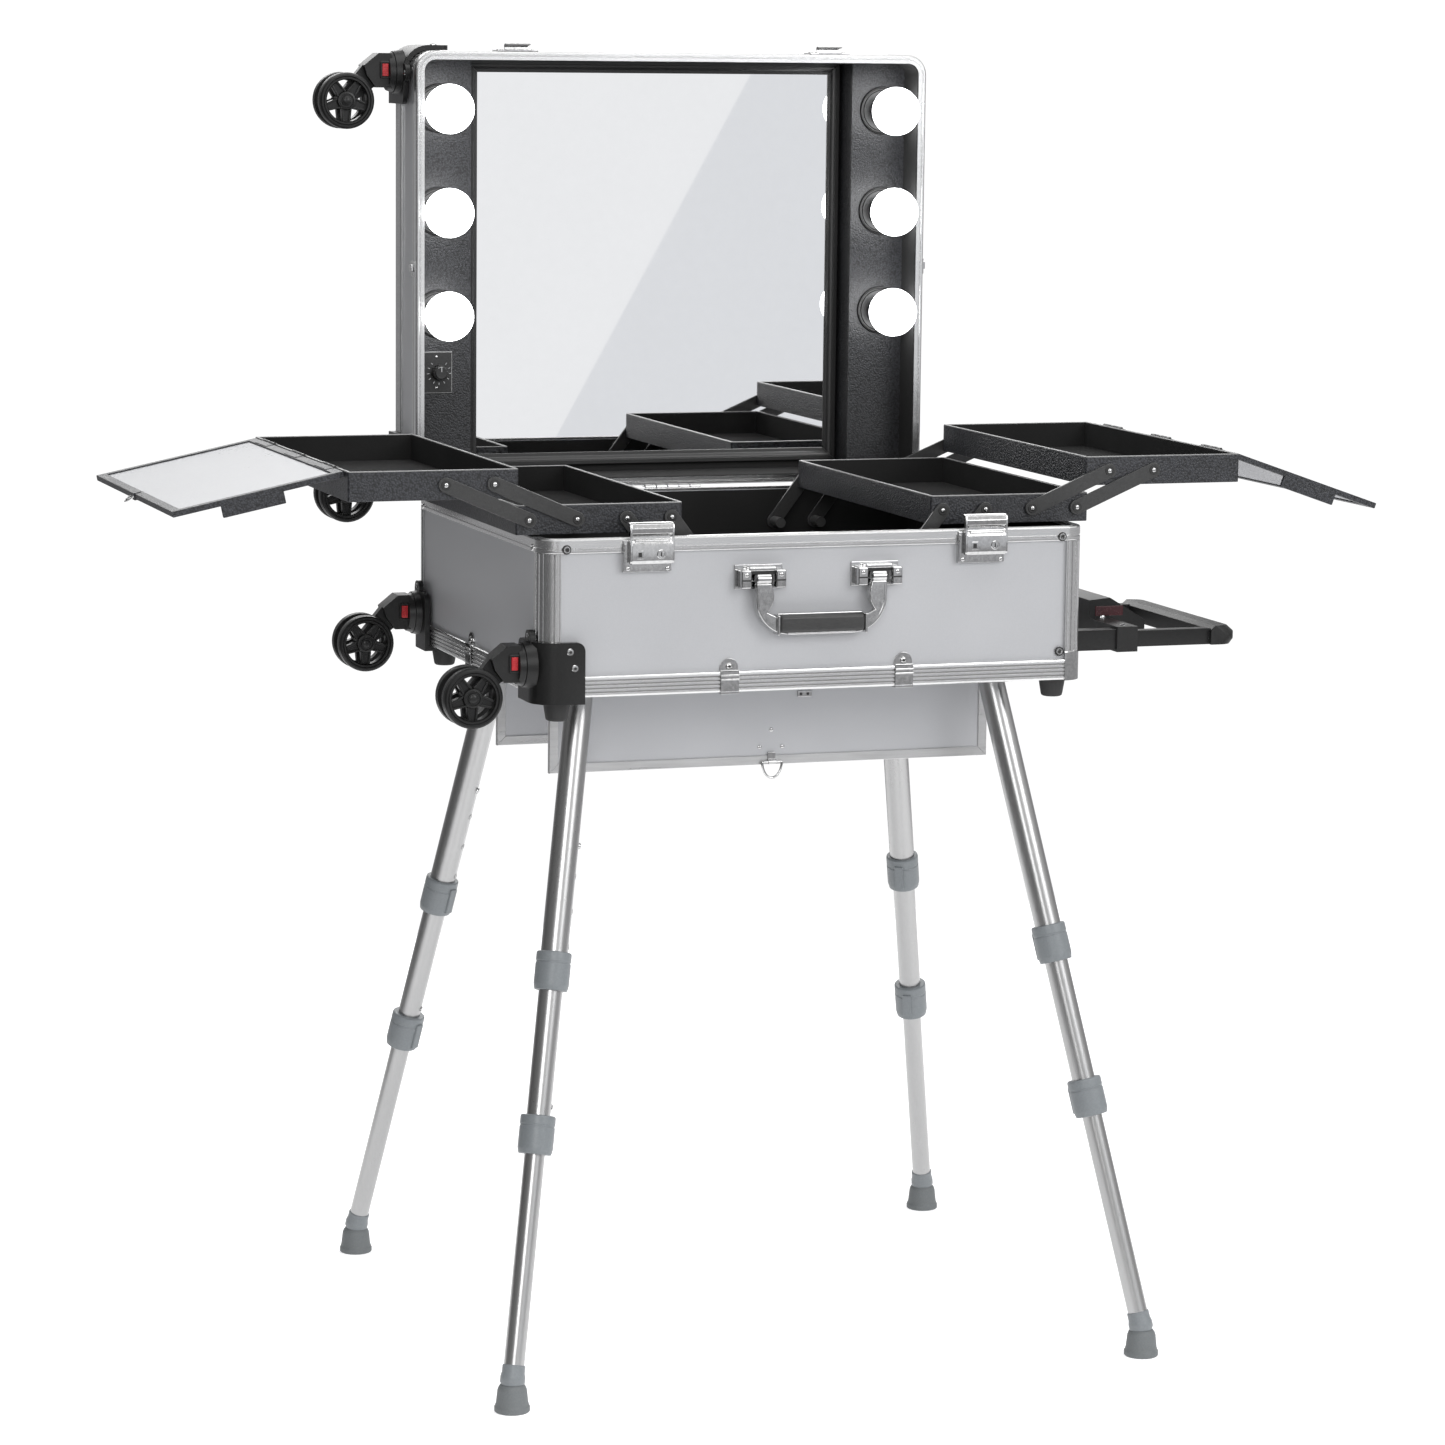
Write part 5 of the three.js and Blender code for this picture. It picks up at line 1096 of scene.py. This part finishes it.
for level, pair in LINK_ENDS.items():
    for which, (start, end) in pair.items():
        run = Vector(end) - Vector(start)
        outline, half = [], LINK_WIDE / 2
        for k in range(26):
            angle = math.pi / 2 + math.pi * k / 12 if k < 13 else -math.pi / 2 + math.pi * (k - 13) / 12
            outline.append(((0 if k < 13 else run.length) + half * math.cos(angle), half * math.sin(angle)))
        bar = softened(prism(outline, LINK_BACK, LINK_BACK + LINK_THICK), 0.5, 2)
        tilt = Matrix.Rotation(math.atan2(run.y, run.x), 4, "Z")
        in_line = upright @ Matrix.Translation((*start, 0)) @ tilt
        for side, mirror in (("right", AS_DRAWN), ("left", FLIP_X)):
            link = Piece()
            for flip in (AS_DRAWN, FLIP_Y):
                link.add(bar, 0, mirror @ flip @ in_line)
                for i, (x, z) in enumerate((start, end)):
                    face = mirror @ flip @ facing((x, -LINK_BACK - LINK_THICK, z), (0, -1, 0))
                    link.add(turned([(0, -0.2), (4.6, -0.2), (4.6, 0.3), (4.2, 0.6), (0, 0.6)], 24), 2,
                             face)
                    link.add(dome(2.2, 0.9, 0.1), 1, face @ Matrix.Translation((0, 0, 0.6)))
                    if level == "lower" and i == 0:
                        link.add(turned([(0, -23), (5.2, -23), (5.2, -3.6), (4.7, -3.1), (0, -3.1)], 20), 0,
                                 face)
                    else:
                        link.add(turned([(0, -6.5), (2.6, -6.5), (2.6, 0), (0, 0)], 14), 1, face)
            link.set_on(f"link_{level}_{side}_{which}", f"link_{level}_{side}_{which}_bars",
                        [link_paint, chrome, recess_shade], [f"link_{level}_{side}_{which}"], "black_link")

# ---------------------------------------------------------------- tray covers
# Leaves that fold over the upper trays: a pale plate in a black frame on a rolled hinge, with a tab
# under the front edge and a wire hook in a clip at the outer edge.
cover_plate = finish_of("pale_cover_plate", (0.25, 0.255, 0.27, 1), (0.30, 0.305, 0.32, 1), 240, (1, 1, 1),
                        0.26, 0.36, 0.0, 0.03, 0.0001)
COVER_X, COVER_Z, COVER_LONG, COVER_DEEP = 442.97, 857.817, 161.0, 350.0
COVER_FRAME = [(0, -5.3), (0.5, -5.8), (8.6, -5.8), (9, -5.4), (9, -4.6), (7.5, -4.6), (7.5, -1.5),
               (9, -1.5), (9, -0.7), (8.6, -0.3), (0.5, -0.3), (0, -0.8)]
for side, angle, mirror in (("right", 19, AS_DRAWN), ("left", 12, FLIP_X)):
    hinge_at = mirror @ Matrix.Translation((COVER_X, 0, COVER_Z))
    tilted = hinge_at @ Matrix.Rotation(math.radians(angle), 4, "Y")
    leaf, tray_side = Piece(), Piece()
    leaf.add(mitred_edging(COVER_FRAME, COVER_LONG, COVER_DEEP, 0.2), 0, tilted
             @ Matrix.Translation((81.5, 0, 0)))
    leaf.add(block(9.2, 153.8, -167.3, 167.3, -4.4, -1.7, 0.2, 1), 1, tilted)
    leaf.add(block(58, 117, -175, -171, -16.8, -5.4, 0.8), 0, tilted)
    leaf.add(block(155, 163.2, -9, 9, -6.6, 0.5, 0.7), 0, tilted)
    turns = [math.pi * i / 14 for i in range(15)]
    bow = [(163 + 7.5 * math.sin(a), 6 * math.cos(a), -3.2 - 3.0 * math.sin(a)) for a in turns]
    leaf.add(swept(bow, circle(0.9, 8)), 2, tilted)
    for centre in (-120, 0, 120):
        leaf.add(block(1.6, 9, centre - 22, centre + 22, -0.5, 0.25, 0.2, 1), 0, tilted)
        for i in range(5):
            roll = turned([(0, -4.2), (1.2, -4.2), (1.5, -3.9), (1.5, 3.9), (1.2, 4.2), (0, 4.2)], 14)
            at = Matrix.Translation((0, centre - 18 + 9 * i, 0)) @ Matrix.Rotation(math.pi / 2, 4, "X")
            (leaf if i % 2 else tray_side).add(roll, 0, (tilted if i % 2 else hinge_at) @ at)
        tray_side.add(block(-3.6, -1.0, centre - 22, centre + 22, -0.9, 0.1, 0.2, 1), 0, hinge_at)
    leaf.set_on(f"cover_{side}", f"cover_{side}_leaf", [tray_skin, cover_plate, chrome], [f"cover_{side}"],
                "cover_plate")
    tray_side.set_on(f"tray_upper_{side}", f"cover_{side}_hinge_rolls", [link_paint], (),
                     "tray_leatherette")

# ---------------------------------------------------------------- wheel brackets, casters and wheels
# Moulded corner brackets are screwed over the case's left corners. Each carries a swivelling housing
# with a red quick-release button and a twin wheel with a rubber tread and five double-ribbed spokes.
red_plastic = finish_of("red_button", (0.36, 0.012, 0.018, 1), (0.50, 0.020, 0.026, 1), 400, (1, 1, 1),
                        0.28, 0.4, 0.0, 0.05)
wheel_black = finish_of("wheel_black", grey(0.006), grey(0.012), 600, (1, 1, 1), 0.28, 0.38, 0.0, 0.05,
                        0.0002, shine=0.35)
AXIS_Y, CASTER_UP, CASTER_X = -196.0, 30.0, -281.6
WHEEL_AT = Vector((-331.0, AXIS_Y, CASTER_UP - 28))
TYRE = [(20.6, 6.3), (27.0, 6.3), (27.9, 7.2), (28.0, 9.5), (27.6, 10.0), (28.0, 10.5), (28.0, 13.0),
        (27.6, 13.5), (28.0, 14.0), (27.6, 16.2), (26.0, 17.4), (24.4, 17.5), (23.8, 16.7), (23.2, 17.2),
        (21.6, 17.2), (20.8, 16.2), (20.6, 14.5)]
HUB = [(4.2, 6.3), (9.4, 6.3), (9.6, 12.6), (8.8, 14.6), (7.0, 14.9), (6.6, 14.1), (5.2, 14.1), (4.8, 15.3),
       (0, 15.9), (0, 6.3)]
SPOKE_IN, SPOKE_OUT = 8.2, 21.2
lay = Matrix(((1, 0, 0, 0), (0, 0, 1, 0), (0, 1, 0, 0), (0, 0, 0, 1)))
spoke_parts = []
for i in range(5):
    spin = Matrix.Rotation(math.radians(90 + 72 * i), 4, "Y")
    for off in (-1, 1):
        rib = [(SPOKE_IN, off * 4.4 - 0.9), (SPOKE_OUT, off * 3.0 - 1.0), (SPOKE_OUT, off * 3.0 + 1.0),
               (SPOKE_IN, off * 4.4 + 0.9)]
        spoke_parts.append((softened(prism(rib, 7.0, 13.6), 0.45, 2), spin @ lay))
    web = [(SPOKE_IN, -3.8), (SPOKE_OUT, -2.6), (SPOKE_OUT, 2.6), (SPOKE_IN, 3.8)]
    spoke_parts.append((prism(web, 7.6, 11.6), spin @ lay))
stand_y = Matrix(((1, 0, 0, 0), (0, 0, 1, 0), (0, -1, 0, 0), (0, 0, 0, 1)))
BRACKET_FRONT, BRACKET_SIDE, BRACKET_WALL = -223.3, -275.3, 5.0
WHEEL_PLACES = (("base_front", ON_BASE, 0), ("base_rear", ON_BASE @ FLIP_Y, 0),
                ("lid_top", ON_LID, math.pi / 2), ("lid_bottom", ON_LID @ FLIP_Y, -math.pi / 2))


def bracket_corner(a, b):
    """The short edges through the bracket's wall, at the corners of its outline."""
    return abs((a - b).length - BRACKET_WALL) < 0.02


for name, corner, hang in WHEEL_PLACES:
    pivot = Matrix.Translation((0, AXIS_Y, CASTER_UP))
    hung = corner @ pivot @ Matrix.Rotation(hang, 4, "X") @ pivot.inverted()
    bracket = Piece().add(solid_of(f"wheel_bracket_{name}", 1.3, 3, 25, bracket_corner))
    for x, z in ((-242.6, 43.6), (-238.0, 28.4)):
        screw = corner @ facing((x, BRACKET_FRONT, z), (0, -1, 0))
        bracket.add(turned([(0, -0.3), (3.4, -0.3), (3.4, 0.5), (2.9, 1.1), (0, 1.3)], 24), 1, screw)
        bracket.add(turned([(0, 1.0), (1.5, 1.0), (1.5, 1.45), (0, 1.45)], 6), 2, screw)
    bracket.add(dome(2.4, 1.0), 1, corner @ facing((BRACKET_SIDE, AXIS_Y, 57.0), (-1, 0, 0)))
    bracket.set_on(name.split("_")[0], f"bracket_{name}_cover", [moulded, chrome, recess_shade],
                   [f"wheel_bracket_{name}"], "black_plastic")
    housing = Piece().add(solid_of(f"caster_{name}", 0.9, 2))
    outward = hung.to_3x3() @ Vector((0, -1, 0))
    facing_side = -1 if outward.y < 0 else 1
    button_at = hung @ facing((CASTER_X - 9.5, AXIS_Y + facing_side * 12, CASTER_UP + 2.5),
                              (0, facing_side, 0))
    bezel = [(0, -0.4), (0, 1.2), (0.5, 1.7), (1.6, 1.7), (1.9, 1.2), (1.9, -0.4)]
    housing.add(hoop(bezel, 11, 17, 2.2, 4), 0, button_at)
    housing.add(block(-3.2, 3.2, -6.2, 6.2, -0.2, 1.3, 0.6), 1, button_at)
    for level in (-3, -1, 1, 3):
        housing.add(block(-2.4, 2.4, level - 0.35, level + 0.35, 1.1, 1.6, 0.15, 1), 1, button_at)
    housing.set_on(f"caster_{name}", f"caster_{name}_housing", [moulded, red_plastic], [f"caster_{name}"],
                   "black_plastic")
    wheel = Piece()
    for face in (AS_DRAWN, FLIP_Y):
        at = hung @ Matrix.Translation(WHEEL_AT) @ face
        wheel.add(turned(TYRE, 48), 0, at @ stand_y)
        wheel.add(turned(HUB, 32), 0, at @ stand_y)
        for surface, spin in spoke_parts:
            wheel.add(surface, 0, at @ spin)
        wheel.add(dome(4.0, 1.2, 0.2), 0, at @ stand_y @ Matrix.Translation((0, 0, 15.2)))
    wheel.add(turned([(0, -12), (3.8, -12), (3.8, 12), (0, 12)], 20), 1, hung
              @ Matrix.Translation(WHEEL_AT) @ stand_y)
    wheel.set_on(f"wheel_{name}", f"wheel_{name}_twin", [wheel_black, chrome], [f"wheel_{name}"],
                 "wheel_black")

# ---------------------------------------------------------------- telescopic legs
# Three aluminium tubes a leg. Grey split collars end the two outer ones, snap buttons set the length
# in a row of holes, and a grey rubber boot turns the foot square to the floor.
tube_metal = finish_of("satin_tube", grey(0.40), grey(0.43), 700, (1, 1, 0.03), 0.27, 0.31, 1.0, 0.01,
                       0.0001)
collar_grey = finish_of("collar_plastic", (0.150, 0.165, 0.175, 1), (0.190, 0.205, 0.215, 1), 500,
                        (1, 1, 1), 0.34, 0.46, 0.0, 0.06)
boot_rubber = finish_of("boot_rubber", (0.105, 0.115, 0.118, 1), (0.145, 0.155, 0.160, 1), 700, (1, 1, 1),
                        0.5, 0.65, 0.0, 0.15)
LEG_TOP, LEG_RUN, LEG_DROP = Vector((205.5, 135.3, 650.0)), Vector((0.16741, 0.23839, -0.95663)), 3.883
LEG_LONG, FOOT_AT = 648.4, Vector((314.7, 290.8, 0))


def collar_profile(inner, bore, end):
    return [(inner - 0.6, end - 36), (15.2, end - 36), (16.2, end - 35.2), (16.5, end - 34),
            (16.5, end - 27.6), (16.0, end - 27), (16.0, end - 25.6), (16.5, end - 25), (16.5, end - 6),
            (16.2, end - 4), (15.4, end - 0.4), (14.8, end), (bore, end), (bore, end - 8),
            (inner - 0.6, end - 8)]


BUTTON_WAYS = {"front_left": (0.995, -0.10), "rear_left": (0.80, -0.60), "front_right": (0.3, 0.95),
               "rear_right": (0.3, 0.95)}
clamp_turn = Matrix.Rotation(math.pi / 2, 4, "X") @ Matrix.Rotation(math.pi, 4, "Z")
boot_profile = [(0, 0), (15.6, 0), (16.5, 0.9), (16.5, 4.6), (16.0, 5.4), (15.0, 8.0), (13.6, 20.5),
                (12.6, 23.2), (10.8, 25.6), (10.0, 26), (0, 26)]
for corner, sx, sy in (("front_left", -1, -1), ("front_right", 1, -1), ("rear_left", -1, 1),
                       ("rear_right", 1, 1)):
    mirror = Matrix.Diagonal((sx, sy, 1, 1))
    start, run = mirror @ (LEG_TOP + LEG_RUN * LEG_DROP), (mirror.to_3x3() @ LEG_RUN).normalized()
    down = facing(start, run)
    way = Vector((*BUTTON_WAYS[corner], 0))
    way = (way - run * way.dot(run)).normalized()

    def on_tube(distance, radius):
        return facing(start + run * distance + way * radius, way)

    upper = Piece()
    upper.add(turned([(0, -17.5), (5.6, -17.5), (6, -17), (6, -0.4), (11.8, -0.4), (12.75, 0.6),
                      (12.75, 279), (11.55, 279), (11.55, 5), (0, 5)], 40), 0, down)
    upper.add(turned(collar_profile(12.75, 11.35, 286), 40), 1, down)
    upper.add(block(-4.5, 4.5, -13, 13, 14.6, 18.2, 1.0), 1, down @ Matrix.Translation((0, 0, 269))
              @ clamp_turn)
    upper.add(turned([(0, -0.6), (3.0, -0.6), (3.0, 1.2), (2.4, 2.2), (0, 2.6)], 20), 2, on_tube(149, 12.6))
    for distance in (182, 215, 248):
        upper.add(turned([(1.7, -0.5), (3.1, -0.5), (3.1, 0.35), (2.7, 0.55), (1.7, 0.3)], 20), 0,
                  on_tube(distance - 4, 12.5))
        upper.add(turned([(0, -0.5), (1.8, -0.5), (1.8, 0.1), (0, 0.1)], 16), 3,
                  on_tube(distance - 4, 12.5))
    upper.set_on("base", f"leg_{corner}_upper_tube", [tube_metal, collar_grey, chrome, recess_shade],
                 [f"leg_{corner}_upper"], "leg_tube")
    middle = Piece()
    middle.add(turned([(9.95, 130), (10.9, 130), (11.15, 130.4), (11.15, 431), (9.95, 431)], 40), 0, down)
    middle.add(turned(collar_profile(11.15, 9.75, 438), 40), 1, down)
    middle.add(block(-4.5, 4.5, -13, 13, 14.6, 18.2, 1.0), 1, down @ Matrix.Translation((0, 0, 421))
               @ clamp_turn)
    middle.add(turned([(0, -0.6), (2.6, -0.6), (2.6, 0.9), (2.0, 1.5), (0, 1.6)], 20), 2,
               on_tube(393, 11.05))
    middle.set_on(f"leg_{corner}_middle", f"leg_{corner}_middle_tube", [tube_metal, collar_grey, chrome],
                  [f"leg_{corner}_middle"], "leg_tube")
    lower_leg, ankle = Piece(), LEG_LONG - 16
    lower_leg.add(turned([(8.35, 376), (9.3, 376), (9.55, 376.4), (9.55, ankle), (8.35, ankle)], 40), 0,
                  down)
    lower_leg.add(turned([(0, ankle - 1), (9.9, ankle - 1), (10.6, ankle - 0.2), (10.6, ankle + 6),
                          (11.6, ankle + 10), (11.6, ankle + 15), (8, ankle + 21), (0, ankle + 21)], 36), 1,
                  down)
    lower_leg.add(turned(boot_profile, 40), 2, Matrix.Translation(mirror @ FOOT_AT))
    lower_leg.set_on(f"leg_{corner}_lower", f"leg_{corner}_lower_tube",
                     [tube_metal, collar_grey, boot_rubber], [f"leg_{corner}_lower"], "leg_tube")
